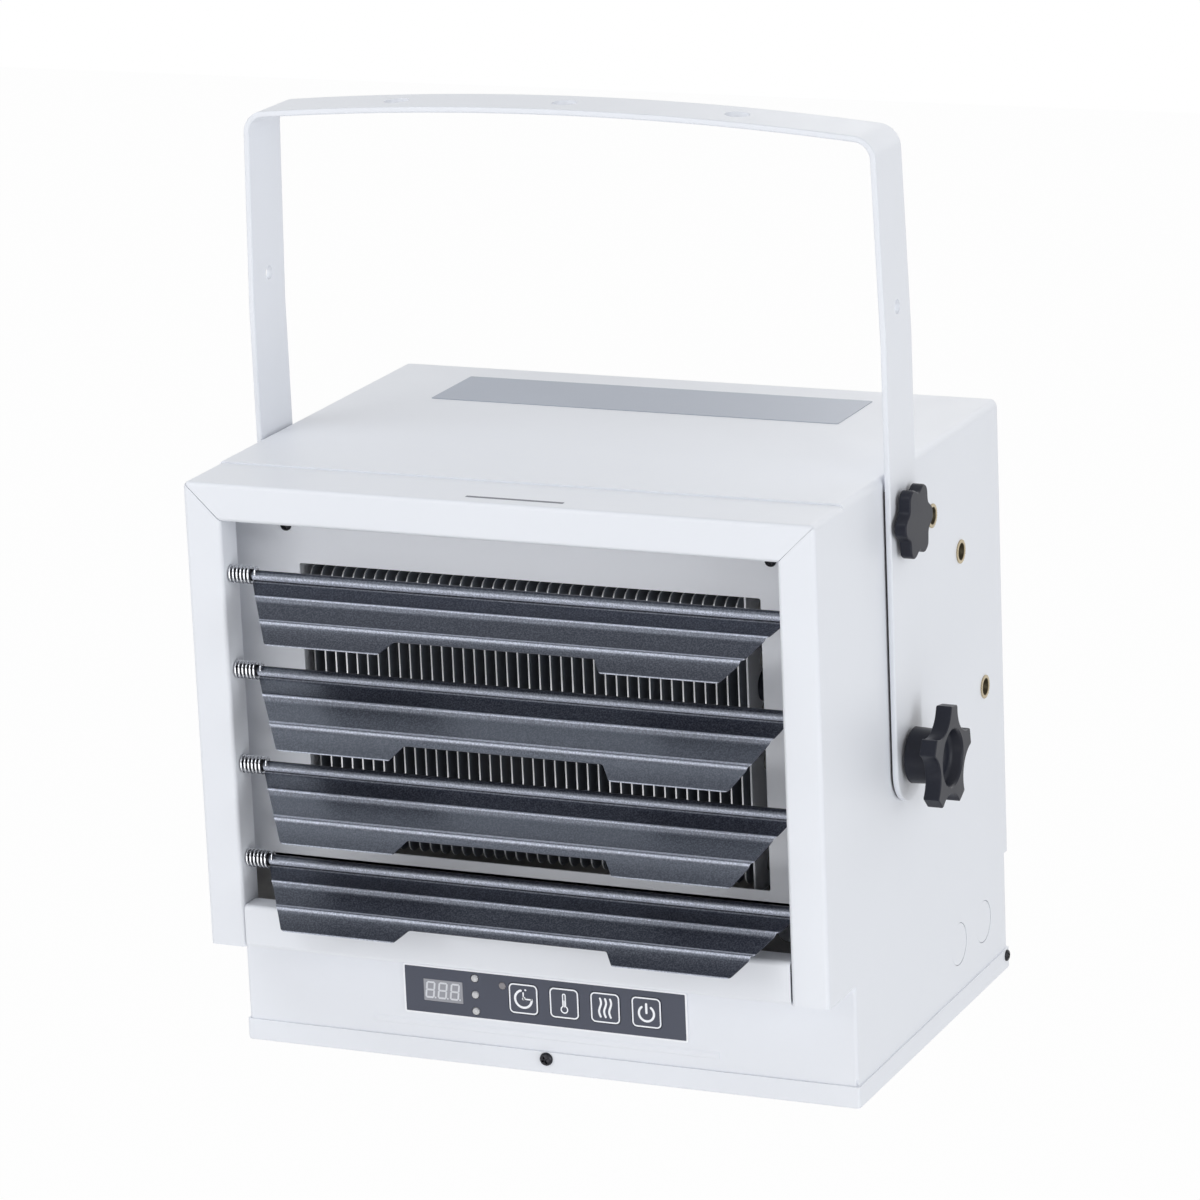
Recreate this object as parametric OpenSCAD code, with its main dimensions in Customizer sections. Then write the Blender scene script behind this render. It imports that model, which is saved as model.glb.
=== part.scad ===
// Ceiling mounted fan heater: a sheet steel housing that tilts in a strap bracket.
// Frame: the origin is the centre of the strap's top face, which is bolted to the ceiling.
// +X to the right, +Y to the back, +Z up.
// The housing has its own frame: x = 0 on its centreline, y = 0 at the bezel's front face
// and z = 0 under the base pan. in_housing() puts it into the part's frame.

/* [Housing] */
// Width of the bezel
housing_w = 330; // [310:5:400]
// Height of the bezel's top above the underside of the base pan
housing_h = 300; // [296:2:350]
// Depth from the bezel's face to the rear panel
housing_d = 250; // [240:5:320]
// Thickness of the sheet steel
sheet_t = 1; // [0.8:0.1:1.3]
// Outside radius of the folded corners
fold_r = 2; // [1.6:0.1:4]
// Gap left at seams and mitres
seam_gap = 0.3; // [0.1:0.1:0.8]

/* [Bezel] */
// Width of each upright stile
stile_w = 19.5; // [15:0.5:26]
// Height of the top rail
top_rail_h = 19; // [14:0.5:22]
// Depth of the top rail in front of the cover
top_rail_d = 38; // [30:1:60]
// Width of the top rail's lap under the cover
cover_lap = 12; // [6:1:20]
// Height of the bottom rail
bottom_rail_h = 21.8; // [16:0.2:28]
// How far the stiles and the top rail fold in
return_d = 16; // [12:0.5:20]
// How far the bottom rail folds in
sill_return_d = 12.5; // [8:0.5:18]

/* [Lower compartment] */
// Height of the compartment under the bezel
compartment_h = 62.7; // [55:0.1:75]
// Set-back of its front wall from the bezel's face
compartment_y = 35; // [28:1:50]
// Inset of its side walls from the sides of the housing
compartment_inset = 0.4; // [0.3:0.1:3]
// Inset of its rear wall from the rear panel
compartment_rear = 2; // [1:0.5:10]
// Height of the base pan's lip
pan_lip_h = 11.3; // [8:0.1:16]
// Diameter of the cable knockouts
knockout_d = 22; // [18:1:24]
// Distance of the first knockout from the compartment's rear wall
knockout_y = 34; // [20:1:60]
// Distance between the two knockouts
knockout_pitch = 36; // [30:1:50]
// Height of the knockouts' centres
knockout_z = 36; // [28:1:42]

/* [Air outlet] */
// Set-back of the baffle from the bezel's face
baffle_y = 35.5; // [30:0.5:40]
// Width of the outlet in the baffle
outlet_w = 244; // [200:2:250]
// Height of the outlet in the baffle
outlet_h = 146; // [130:1:150]
// Height of the outlet's lower edge above the bottom rail
outlet_rise = 22; // [18:1:30]
// Corner radius of the outlet
outlet_r = 2; // [1:0.5:8]
// Height of the baffle's strip under the outlet
baffle_sill_h = 6.5; // [4:0.5:12]
// Depth of the fold along the baffle's lower edge
baffle_fold_d = 6; // [3:0.5:10]
// Distance of the baffle's screws under the top rail
baffle_screw_drop = 9.5; // [8:0.5:20]
// Distance of the baffle's screws from the outlet's sides
baffle_screw_gap = 6; // [4.5:0.5:12]

/* [Louvres] */
// Number of louvres
louvre_count = 4; // [2:1:4]
// Height of the opening left over by the louvres' shares
louvre_spare = 2.1; // [0:0.1:8]
// Distance of the first louvre axis under the top rail
louvre_drop = 28; // [20:1:34]
// Set-back of the louvre axes from the bezel's face
louvre_y = 8; // [6:0.5:10]
// Tilt of each louvre from upright in the rest position
louvre_tilts = [56.4, 44.2, 47.4, 56.9];
// Distance from a louvre's lower edge to the next axis when shut
louvre_space = 7.6; // [5:0.1:12]
// Thickness of the louvre sheet
louvre_t = 1; // [0.8:0.1:1.2]
// Outside radius of the rolled edge
roll_r = 2.5; // [2.4:0.1:3.2]
// Radius of the louvre rods
rod_r = 1.5; // [1:0.1:1.6]
// Distances of the two pressed ribs from the axis
rib_places = [14.6, 28.9];
// Radius of the pressed ribs
rib_r = 1.6; // [1.1:0.1:3]
// Distance from the axis at which the ends start to taper
taper_start = 3.4; // [3:0.1:8]
// Angle of the tapered ends
taper_angle = 28.8; // [15:0.1:35]
// Width of the notch in the lower edge
notch_w = 115.4; // [80:1:140]
// Depth of the notch
notch_d = 8.5; // [5:0.5:10]
// Length of the coil spring on each rod
spring_l = 12.6; // [9:0.1:16]
// Outside radius of the coil springs
spring_r = 4.5; // [3.5:0.1:5]
// Radius of the spring wire
spring_wire_r = 0.55; // [0.4:0.05:0.7]
// Number of turns in a spring
spring_turns = 6; // [4:1:8]

/* [Heating element] */
// Number of fins
fin_count = 40; // [20:1:40]
// Distance between fins
fin_pitch = 5.81; // [4.5:0.01:5.9]
// Sideways offset of the fin pack from the housing's centre
fin_pack_x = -8.35; // [-10:0.05:5]
// Thickness of a fin
fin_t = 0.6; // [0.3:0.05:0.8]
// Height of a fin
fin_h = 144; // [130:1:148]
// Depth of a fin
fin_d = 34; // [28:1:44]
// Gap between the tray and the fins
fin_lift = 3.5; // [1:0.1:10]
// Distance of the fins behind the baffle's front face
fin_gap = 10.5; // [8:0.5:16]
// Corner radius of a fin
fin_r = 6; // [3:0.5:8]
// Number of element passes, an even number
tube_count = 6; // [2:2:6]
// Distance of the outer element passes from the fins' ends
tube_margin = 7.5; // [5:0.1:12]
// Radius of the element's sheath
tube_r = 4; // [3:0.1:4.5]
// Distance from the outer fins to the end plates
end_plate_gap = 5.5; // [4:0.5:8]
// Height of the end plates above the fins
end_plate_rise = 9.5; // [2:0.1:12]
// Radius of the thermal cut-out
cutout_r = 8; // [6:0.5:9]

/* [Fan] */
// Distance of the blade tips from the duct's floor and roof
fan_margin = 24.65; // [20:0.05:40]
// Gap between the blade tips and the shroud
fan_tip_gap = 5; // [3:0.5:8]
// Number of blades
blade_count = 5; // [3:1:7]
// Length of the blades along the shaft
blade_l = 30; // [20:1:36]
// Thickness of the blades
blade_t = 1.5; // [1:0.1:2.5]
// Angle of the blades to the fan's plane
blade_pitch = 28; // [18:1:40]
// Radius of the fan hub
fan_hub_r = 20; // [14:1:26]
// Radius of the motor shaft
shaft_r = 4; // [3:0.5:6]
// Radius of the motor
motor_r = 40; // [30:1:48]
// Length of the motor
motor_l = 42; // [30:1:50]
// Width of the motor mount's arms
mount_arm_w = 16; // [10:1:24]
// Depth of the inlet guard behind the rear panel
guard_d = 9; // [7:0.5:16]
// Radius of the guard wire
guard_wire_r = 1.2; // [1:0.1:2]
// Number of rings in the guard
guard_rings = 6; // [3:1:7]

/* [Controls] */
// Width of the keypad panel
keypad_w = 153; // [148:0.1:170]
// Height of the keypad panel
keypad_h = 25.7; // [22:0.1:28]
// Thickness of the keypad panel
keypad_t = 0.8; // [0.5:0.1:1.2]
// Sideways place of the keypad panel's centre
keypad_x = 0; // [-20:0.05:20]
// Height of the keypad panel's centre
keypad_z = 37.2; // [32:0.1:40]
// Width and height of a key
key_size = [15.8, 15.8];
// Height of the keys' centres above the keypad's centre
key_rise = 0.6; // [0:0.1:1]
// Distance between keys
key_pitch = 22; // [18:0.1:23]
// Distance of the first key from the keypad's left edge
key_offset = 65.4; // [62:0.1:68]
// Travel of a key
key_travel = 0.5; // [0.3:0.1:0.8]
// Width and height of the display window
window_size = [21.5, 11.5];
// Distance of the window's centre from the keypad's left edge
window_offset = 21.6; // [18:0.1:24]
// Distance of the lights from the keypad's left edge
led_offset = 39.2; // [36:0.1:42]
// Distance between the lights
led_pitch = 8.6; // [7:0.1:9]
// Radius of the lights
led_r = 1.9; // [1.5:0.1:2.5]
// Place of the infra-red window from the keypad's left edge and above its centre
ir_place = [54.1, 6.2];
// Distance of the circuit board behind the compartment's front wall
board_gap = 8; // [6:0.5:12]
// Width, depth and height of a relay
relay_size = [16, 15, 12];
// Width, length of one pole and height of the terminal block
terminal_size = [20, 12, 18];
// Distance of the terminal block from the compartment's right side
terminal_inset = 55; // [40:1:80]

/* [Strap bracket] */
// Width of the flat bar
strap_w = 35; // [25:1:45]
// Thickness of the flat bar
strap_t = 3; // [2.5:0.5:4]
// Gap between the housing's side and the strap
strap_gap = 1.1; // [1:0.1:3]
// Height of the strap's top face above the bezel's top
strap_rise = 173; // [120:1:240]
// Bow of the strap's top
strap_bow = 6.5; // [2:0.5:12]
// Distance from the strap's middle over which the bow is measured
bow_reach = 150; // [100:1:160]
// Angle at which the arms lean in above the housing's sweep
strap_lean = 1.7; // [0.5:0.1:3]
// Outside radius of the strap's corners
strap_corner_r = 15; // [8:1:30]
// Diameter of the three ceiling holes
ceiling_hole_d = 12.5; // [8:0.5:14]
// Distance between the ceiling holes
ceiling_hole_pitch = 90; // [60:1:110]
// Diameter of the two spare holes in the arms
spare_hole_d = 7; // [4:0.5:10]
// Height of the spare holes above the pivot
spare_hole_rise = 222.5; // [215:0.5:250]
// Height of the pivot above the underside of the base pan
pivot_z = 158.5; // [145:0.5:170]
// Distance of the arm's lower end below the pivot
arm_tail = 22.8; // [18:0.1:30]

/* [Knobs] */
// Radius of the knob studs
stud_r = 4; // [3:0.5:5]
// Distance of the first lock position from the housing's top
lock_edge = 24; // [20:1:40]
// Distance of the last lock position from the housing's rear
lock_rear = 27.5; // [20:0.5:40]
// Tilt angles at which the housing can be locked
lock_angles = [0, 24.5, 48, 90];
// Radius of a rivet nut's flange
nut_flange_r = 6; // [5.8:0.1:8]
// Thickness of a rivet nut's flange
nut_flange_t = 0.7; // [0.5:0.1:0.8]
// Length of a rivet nut
nut_l = 12; // [8:1:16]
// Thickness of the washers under the knobs
washer_t = 1.2; // [1:0.1:2]
// Tip radius of the star knobs at the pivot
star_r = 25.7; // [22:0.1:32]
// Radius between the star knob's arms
star_valley_r = 17.4; // [14:0.1:20]
// Thickness of the star
star_t = 8.2; // [8:0.1:14]
// Width of the star's arms
star_arm_w = 9.5; // [8:0.5:14]
// Radius of the star knob's hub
star_hub_r = 13.9; // [10:0.1:16]
// Length of the star knob's hub
star_hub_l = 12.4; // [8:0.1:16]
// Turn of the star knob's first arm
star_turn = 27; // [0:1:71]
// Outside radius of the lock knobs
lobe_knob_r = 17.9; // [14:0.1:22]
// Number of lobes on the lock knobs
lobe_count = 6; // [5:1:9]
// Thickness of the lock knobs
lobe_knob_t = 6.6; // [6:0.1:14]

/* [Label] */
// Width and depth of the blank label plate
label_size = [223, 48.5];
// Thickness of the label plate
label_t = 0.3; // [0.2:0.1:0.6]
// Distance of the label plate from the rear edge
label_rear = 19.5; // [10:0.5:60]
// Sideways place of the label plate's centre
label_x = -5.5; // [-20:0.5:20]

/* [Hidden] */

$fn = 48;

// Fits and small standard sizes
running_gap = 0.05;
seat_gap = 0.3;
trim_gap = 0.1;
overlap = 1;
chamfer_l = 1;
fuse_angle = 1;
head_r = 3.4;
baffle_head_r = 2.9;
head_h = 2.2;
side_head_r = 3;
side_head_h = 1.4;

// Colours
white_coat = [0.90, 0.92, 0.94];
louvre_coat = [0.24, 0.25, 0.29];
black_plastic = [0.14, 0.14, 0.15];
zinc = [0.72, 0.70, 0.64];
bright_metal = [0.80, 0.80, 0.82];
dark_metal = [0.26, 0.25, 0.25];

// Housing planes
half_w = housing_w / 2;
inner_x = half_w - sheet_t;
open_x = half_w - stile_w;
open_top = housing_h - top_rail_h;
rail_top = compartment_h + bottom_rail_h;
floor_top = compartment_h + sheet_t;
roof_z = housing_h - sheet_t;
cover_top = housing_h + sheet_t;
rear_inner = housing_d - sheet_t;

// Lower compartment planes
box_x = half_w - compartment_inset;
box_rear = housing_d - compartment_rear;
key_z = keypad_z + key_rise;
keypad_left = keypad_x - keypad_w / 2;
board_y = compartment_y + sheet_t + board_gap;
board_t = 1.6;
board_size = [keypad_w - 4, 34];
switch_h = 2;

// Outlet, element and louvre places
outlet_z = rail_top + outlet_rise;
baffle_bottom = outlet_z - baffle_sill_h;
fin_y = baffle_y + fin_gap;
fin_z = baffle_bottom + fin_lift;
fin_span = (fin_count - 1) * fin_pitch;
fin_left = fin_pack_x - fin_span / 2;
plate_left = fin_left - end_plate_gap;
plate_right = fin_left + fin_span + end_plate_gap;
tube_y = fin_y + fin_d / 2;
tube_pitch = (fin_h - 2 * tube_margin) / (tube_count - 1);
tube_first_z = fin_z + tube_margin;
tray_y = baffle_y + baffle_fold_d;
tray_top = baffle_bottom;
tray_d = fin_gap + fin_d;
louvre_first_z = open_top - louvre_drop;
louvre_pitch = (open_top - rail_top - louvre_spare) / louvre_count;
louvre_reach = louvre_pitch - louvre_space;
louvre_left = -open_x + spring_l;
louvre_right = open_x - seat_gap;
louvre_mid = (louvre_left + louvre_right) / 2;
louvre_half = (louvre_right - louvre_left) / 2;

// Fan places
fan_z = (floor_top + roof_z) / 2;
fan_r = fan_z - floor_top - fan_margin;
shroud_r = fan_r + fan_tip_gap;
flange_w = 9;
mount_y = rear_inner - 20;
motor_front = mount_y - motor_l;
hub_l = 16;
fan_y = motor_front - hub_l - 6;
blade_y = fan_y + hub_l / 2;

// Pivot and lock positions: an arc between the housing's top and rear
lock_r = housing_h - lock_edge - pivot_z;
pivot_y = housing_d - lock_rear - lock_r;

// Strap: the arms stay upright up to the circle that the housing's corners sweep
arm_x = half_w + strap_gap;
strap_top = housing_h + strap_rise;
sweep_r = norm([housing_d - pivot_y, cover_top - pivot_z]);
lean_z = pivot_z + sweep_r + 2;
bow_r = (bow_reach * bow_reach + strap_bow * strap_bow) / (2 * strap_bow);
knob_x = arm_x + strap_t + washer_t + seat_gap;
nut_r = stud_r + 1.4;

function polar(r, a) = [r * cos(a), r * sin(a)];

module in_housing() {
    translate([0, -pivot_y, -strap_top]) children();
}

// Block between two corners, given as ranges along x, y and z
module block(x, y, z) {
    translate([x[0], y[0], z[0]]) cube([x[1] - x[0], y[1] - y[0], z[1] - z[0]]);
}

module rounded_rect(x, y, r) {
    for (cx = [x[0] + r, x[1] - r], cy = [y[0] + r, y[1] - r])
        translate([cx, cy]) circle(r);
    translate([x[0] + r, y[0]]) square([x[1] - x[0] - 2 * r, y[1] - y[0]]);
    translate([x[0], y[0] + r]) square([x[1] - x[0], y[1] - y[0] - 2 * r]);
}

// Extrusions along the axes: the outline lies in the plane across the axis
module along_x(x) {
    translate([x[0], 0, 0]) rotate([90, 0, 90]) linear_extrude(x[1] - x[0]) children();
}

module along_y(y) {
    translate([0, y[1], 0]) rotate([90, 0, 0]) linear_extrude(y[1] - y[0]) children();
}

module along_z(z) {
    translate([0, 0, z[0]]) linear_extrude(z[1] - z[0]) children();
}

module rod_x(x, y, z, r) {
    translate([x[0], y, z]) rotate([0, 90, 0]) cylinder(h = x[1] - x[0], r = r);
}

module rod_y(x, y, z, r) {
    translate([x, y[1], z]) rotate([90, 0, 0]) cylinder(h = y[1] - y[0], r = r);
}

module both_sides() {
    children();
    mirror([1, 0, 0]) children();
}

// ---------------------------------------------------------------- strap bracket

// The strap's outline: on each side an upright arm, its leaning part and a corner, then the bow
module strap_outline() {
    across = polar(1, strap_lean);
    up = [-across[1], across[0]];
    start = [arm_x + strap_t, lean_z];
    bow_centre = [0, strap_top - bow_r];
    from_bow = start - strap_corner_r * across - bow_centre;
    along = from_bow * up;
    reach = bow_r - strap_corner_r;
    run = -along + sqrt(along * along - from_bow * from_bow + reach * reach);
    corner = bow_centre + from_bow + run * up;
    spoke = (corner - bow_centre) / norm(corner - bow_centre);
    wide = 3 * strap_corner_r;
    into_arm = polar(1, strap_lean - fuse_angle);
    into_bow = polar(1, atan2(spoke[1], spoke[0]) + fuse_angle);
    for (side = [0, 1])
        mirror([side, 0]) {
            polygon([
                [arm_x, pivot_z - arm_tail], [arm_x + strap_t, pivot_z - arm_tail], start,
                corner + strap_corner_r * across, corner + (strap_corner_r - strap_t) * across,
                [arm_x, lean_z - strap_t * tan(strap_lean / 2)],
            ]);
            intersection() {
                translate(corner) difference() {
                    circle(strap_corner_r, $fn = 96);
                    circle(strap_corner_r - strap_t, $fn = 96);
                }
                polygon([corner, corner + wide * into_arm, corner + wide * (across + spoke),
                    corner + wide * into_bow]);
            }
        }
    intersection() {
        translate(bow_centre) difference() {
            circle(bow_r, $fn = 3600);
            circle(bow_r - strap_t, $fn = 3600);
        }
        polygon([bow_centre, bow_centre + bow_r * spoke * 1.1,
            bow_centre + bow_r * [-spoke[0], spoke[1]] * 1.1]);
    }
}

// Cuts the arms' lower ends to a half round
module arm_end_cut() {
    end_z = pivot_z - arm_tail + strap_w / 2;
    along_x([-arm_x - 2 * strap_t, arm_x + 2 * strap_t]) difference() {
        translate([pivot_y - strap_w, end_z - strap_w]) square([2 * strap_w, strap_w]);
        translate([pivot_y, end_z]) circle(strap_w / 2);
    }
}

module strap_bracket() {
    color(white_coat) in_housing() difference() {
        along_y([pivot_y - strap_w / 2, pivot_y + strap_w / 2]) strap_outline();
        arm_end_cut();
        for (k = [-1, 0, 1])
            translate([k * ceiling_hole_pitch, pivot_y, strap_top - 5 * strap_t])
                cylinder(h = 8 * strap_t, d = ceiling_hole_d);
        for (z = [pivot_z, pivot_z + lock_r])
            rod_x([-arm_x - 2 * strap_t, arm_x + 2 * strap_t], pivot_y, z, stud_r + running_gap);
        rod_x([-arm_x - 2 * strap_t, arm_x + 2 * strap_t], pivot_y, pivot_z + spare_hole_rise,
            spare_hole_d / 2);
    }
}

module washer(z) {
    difference() {
        rod_x([arm_x + strap_t, arm_x + strap_t + washer_t], pivot_y, z, 2 * stud_r);
        rod_x([arm_x, arm_x + strap_t + 2 * washer_t], pivot_y, z, stud_r + trim_gap);
    }
}

module strap_washers() {
    color(zinc) in_housing() both_sides() {
        washer(pivot_z);
        washer(pivot_z + lock_r);
    }
}

// ---------------------------------------------------------------- knobs and studs

module star_outline() {
    circle(star_valley_r);
    for (k = [0 : 4])
        rotate(star_turn + 72 * k) rounded_rect([0, star_r], [-star_arm_w / 2, star_arm_w / 2], 3);
}

// Star knob on the right: a hub against the washer and a five-armed star
module star_knob() {
    hub_end = knob_x + star_hub_l;
    difference() {
        union() {
            rod_x([knob_x, hub_end + overlap], pivot_y, pivot_z, star_hub_r);
            translate([0, pivot_y, pivot_z]) along_x([hub_end, hub_end + star_t])
                mirror([1, 0]) star_outline();
        }
        rod_x([knob_x - overlap, hub_end + trim_gap], pivot_y, pivot_z, stud_r + running_gap);
    }
}

module lobe_outline() {
    lobe_r = lobe_knob_r * 0.3;
    circle(lobe_knob_r - lobe_r * 0.75);
    for (k = [0 : lobe_count - 1])
        rotate(360 / lobe_count * k) translate([lobe_knob_r - lobe_r, 0]) circle(lobe_r);
}

// Lock knob on the right
module lobe_knob() {
    z = pivot_z + lock_r;
    difference() {
        translate([0, pivot_y, z]) along_x([knob_x, knob_x + lobe_knob_t]) lobe_outline();
        rod_x([knob_x - overlap, knob_x + lobe_knob_t - 2], pivot_y, z, stud_r + running_gap);
    }
}

module stud(z, tip_x, root_x) {
    rod_x([tip_x + chamfer_l, root_x], pivot_y, z, stud_r);
    translate([tip_x, pivot_y, z]) rotate([0, 90, 0])
        cylinder(h = chamfer_l, r1 = stud_r - chamfer_l / 2, r2 = stud_r);
}

// The pivot stud runs through the arm into the housing's rivet nut
module pivot_stud() {
    stud(pivot_z, half_w - nut_l, knob_x + star_hub_l);
}

// The lock stud ends flush with the arm's inner face, clear of the nuts that sweep past
module lock_stud() {
    stud(pivot_z + lock_r, arm_x, knob_x + lobe_knob_t - 2.2);
}

module pivot_knob_right() {
    color(black_plastic) in_housing() star_knob();
}

module pivot_knob_left() {
    color(black_plastic) in_housing() mirror([1, 0, 0]) star_knob();
}

module lock_knob_right() {
    color(black_plastic) in_housing() lobe_knob();
}

module lock_knob_left() {
    color(black_plastic) in_housing() mirror([1, 0, 0]) lobe_knob();
}

module pivot_stud_right() {
    color(zinc) in_housing() pivot_stud();
}

module pivot_stud_left() {
    color(zinc) in_housing() mirror([1, 0, 0]) pivot_stud();
}

module lock_stud_right() {
    color(zinc) in_housing() lock_stud();
}

module lock_stud_left() {
    color(zinc) in_housing() mirror([1, 0, 0]) lock_stud();
}

// ---------------------------------------------------------------- housing shell

// Centres of the rivet nuts: the pivot, then one per lock angle
function nut_places() = concat(
    [[pivot_y, pivot_z]],
    [for (a = lock_angles) [pivot_y, pivot_z] + polar(lock_r, 90 - a)]
);

// Region of the top rail's face, its ends cut at the mitres
module mitre_outline(drop = 0) {
    polygon([
        [-half_w - 1, housing_h + 1 - drop], [half_w + 1, housing_h + 1 - drop],
        [half_w, housing_h - drop], [open_x, open_top - drop],
        [-open_x, open_top - drop], [-half_w, housing_h - drop],
    ]);
}

// Plan of the right side panel: the wall, the stile and its fold into the opening
module side_plan() {
    deep = 2 * return_d;
    intersection() {
        difference() {
            rounded_rect([open_x, half_w], [0, deep], fold_r);
            rounded_rect([open_x + sheet_t, inner_x], [sheet_t, deep], fold_r - sheet_t);
        }
        translate([open_x - overlap, -overlap]) square([stile_w + 2 * overlap, return_d + overlap]);
    }
    translate([inner_x, 2 * fold_r]) square([sheet_t, housing_d - 2 * fold_r]);
}

module side_panel() {
    difference() {
        along_z([compartment_h, housing_h]) side_plan();
        along_y([-overlap, return_d]) mitre_outline(seam_gap);
        block([open_x - overlap, half_w + overlap], [-overlap, return_d],
            [housing_h - seam_gap, housing_h + overlap]);
        for (p = nut_places())
            rod_x([inner_x - overlap, half_w + overlap], p[0], p[1], nut_r + trim_gap);
        for (k = [0 : louvre_count - 1])
            rod_x([open_x - overlap, open_x + sheet_t + overlap], louvre_y,
                louvre_first_z - k * louvre_pitch, rod_r + running_gap);
    }
}

module right_side_panel() {
    color(white_coat) in_housing() side_panel();
}

module left_side_panel() {
    color(white_coat) in_housing() mirror([1, 0, 0]) side_panel();
}

// Top rail: the mitred face, the fold into the opening and the strip under the cover
module top_rail() {
    deep = 2 * top_rail_d;
    color(white_coat) in_housing() {
        intersection() {
            along_x([-half_w, half_w]) intersection() {
                difference() {
                    rounded_rect([0, deep], [open_top, housing_h], fold_r);
                    rounded_rect([sheet_t, deep], [open_top + sheet_t, roof_z], fold_r - sheet_t);
                }
                translate([-overlap, open_top - overlap]) square([return_d + overlap, top_rail_h + 2]);
            }
            along_y([-overlap, return_d]) mitre_outline();
        }
        block([-inner_x, inner_x], [2 * fold_r, top_rail_d + cover_lap], [roof_z, housing_h]);
    }
}

module bottom_rail() {
    x = open_x - seam_gap;
    deep = 2 * return_d;
    color(white_coat) in_housing() along_x([-x, x]) {
        intersection() {
            difference() {
                rounded_rect([0, deep], [compartment_h, rail_top], fold_r);
                rounded_rect([sheet_t, deep], [floor_top, rail_top - sheet_t], fold_r - sheet_t);
            }
            translate([-overlap, compartment_h - overlap])
                square([sill_return_d + overlap, bottom_rail_h + 2 * overlap]);
        }
        translate([2 * fold_r, compartment_h]) square([return_d - 2 * fold_r, sheet_t]);
    }
}

module top_cover() {
    color(white_coat) in_housing()
        block([-half_w, half_w], [top_rail_d, housing_d], [housing_h, cover_top]);
}

// Plate between the air duct and the lower compartment
module duct_floor() {
    color(white_coat) in_housing()
        block([-inner_x, inner_x], [return_d, rear_inner], [compartment_h, floor_top]);
}

module rear_panel() {
    color(white_coat) in_housing() difference() {
        block([-inner_x, inner_x], [rear_inner, housing_d], [compartment_h, housing_h]);
        rod_y(0, [rear_inner - overlap, housing_d + overlap], fan_z, shroud_r);
    }
}

// Pan head of a sheet metal screw with its cross recess; the head points along -y
module pan_head(r = head_r, h = head_h) {
    slot_w = r * 0.3;
    rotate([90, 0, 0]) difference() {
        union() {
            cylinder(h = h / 2, r = r);
            translate([0, 0, h / 2]) cylinder(h = h / 2, r1 = r, r2 = r * 0.7);
        }
        translate([-r * 0.6, -slot_w / 2, h / 2]) cube([r * 1.2, slot_w, h]);
        translate([-slot_w / 2, -r * 0.6, h / 2]) cube([slot_w, r * 1.2, h]);
    }
}

module rear_screws() {
    inset = 8;
    color(black_plastic) in_housing()
        for (x = [-inner_x + inset, inner_x - inset], z = [floor_top + inset, housing_h - inset])
            translate([x, housing_d, z]) rotate([0, 0, 180]) pan_head();
}

module front_baffle() {
    color(white_coat) in_housing() {
        difference() {
            block([-inner_x, inner_x], [baffle_y, baffle_y + sheet_t], [baffle_bottom, roof_z]);
            along_y([baffle_y - overlap, baffle_y + 2 * overlap + sheet_t])
                rounded_rect([-outlet_w / 2, outlet_w / 2], [outlet_z, outlet_z + outlet_h], outlet_r);
        }
        block([-inner_x, inner_x], [baffle_y, tray_y],
            [baffle_bottom, baffle_bottom + sheet_t]);
    }
}

module baffle_screws() {
    x = outlet_w / 2 + baffle_screw_gap;
    color(black_plastic) in_housing() both_sides()
        translate([x, baffle_y, open_top - baffle_screw_drop]) pan_head(baffle_head_r);
}

// Channel under the fin pack: its front wall closes the duct below the baffle
module element_tray() {
    slot_r = 6;
    color(dark_metal) in_housing() {
        difference() {
            block([-inner_x, inner_x], [tray_y, tray_y + sheet_t], [floor_top, tray_top]);
            both_sides() rod_y(outlet_w / 2 + baffle_screw_gap,
                [tray_y - overlap, tray_y + 2 * overlap],
                tray_top - 2.5 * slot_r, slot_r);
        }
        block([-inner_x, inner_x], [tray_y, tray_y + tray_d], [tray_top - sheet_t, tray_top]);
    }
}

// ---------------------------------------------------------------- lower compartment

function key_x(k) = keypad_left + key_offset + k * key_pitch;

// Openings of the keypad panel and of the wall behind it
module keypad_cutouts(gap) {
    for (k = [0 : 3])
        rounded_rect(
            [key_x(k) - key_size[0] / 2 - gap, key_x(k) + key_size[0] / 2 + gap],
            [key_z - key_size[1] / 2 - gap, key_z + key_size[1] / 2 + gap], 2.5);
    translate([keypad_left + window_offset - window_size[0] / 2 - trim_gap,
        keypad_z - window_size[1] / 2 - trim_gap])
        square(window_size + [2 * trim_gap, 2 * trim_gap]);
    for (k = [-1, 0, 1])
        translate([keypad_left + led_offset, keypad_z + k * led_pitch]) circle(led_r + trim_gap);
    translate([keypad_left + ir_place[0], keypad_z + ir_place[1]]) circle(led_r + trim_gap);
}

module control_box() {
    color(white_coat) in_housing() difference() {
        block([-box_x, box_x], [compartment_y, box_rear], [sheet_t, compartment_h]);
        block([-box_x + sheet_t, box_x - sheet_t], [compartment_y + sheet_t, box_rear - sheet_t],
            [-overlap, compartment_h + overlap]);
        along_y([compartment_y - overlap, compartment_y + 2 * overlap]) keypad_cutouts(seat_gap);
        for (k = [0, 1])
            rod_x([box_x - 2 * overlap, box_x + overlap], box_rear - knockout_y - k * knockout_pitch,
                knockout_z, knockout_d / 2);
    }
}

module base_pan() {
    x = box_x + sheet_t;
    color(white_coat) in_housing() difference() {
        block([-x, x], [compartment_y - sheet_t, box_rear + sheet_t], [0, pan_lip_h]);
        block([-box_x, box_x], [compartment_y, box_rear], [sheet_t, pan_lip_h + overlap]);
    }
}

module base_screws() {
    z = pan_lip_h * 0.68;
    y = box_rear - side_head_r - 0.5;
    color(black_plastic) in_housing() {
        translate([0, compartment_y - sheet_t, z]) pan_head();
        both_sides() translate([box_x + sheet_t, y, z]) rotate([0, 0, 90])
            pan_head(side_head_r, side_head_h);
        translate([0, box_rear + sheet_t, z]) rotate([0, 0, 180]) pan_head();
    }
}

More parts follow.
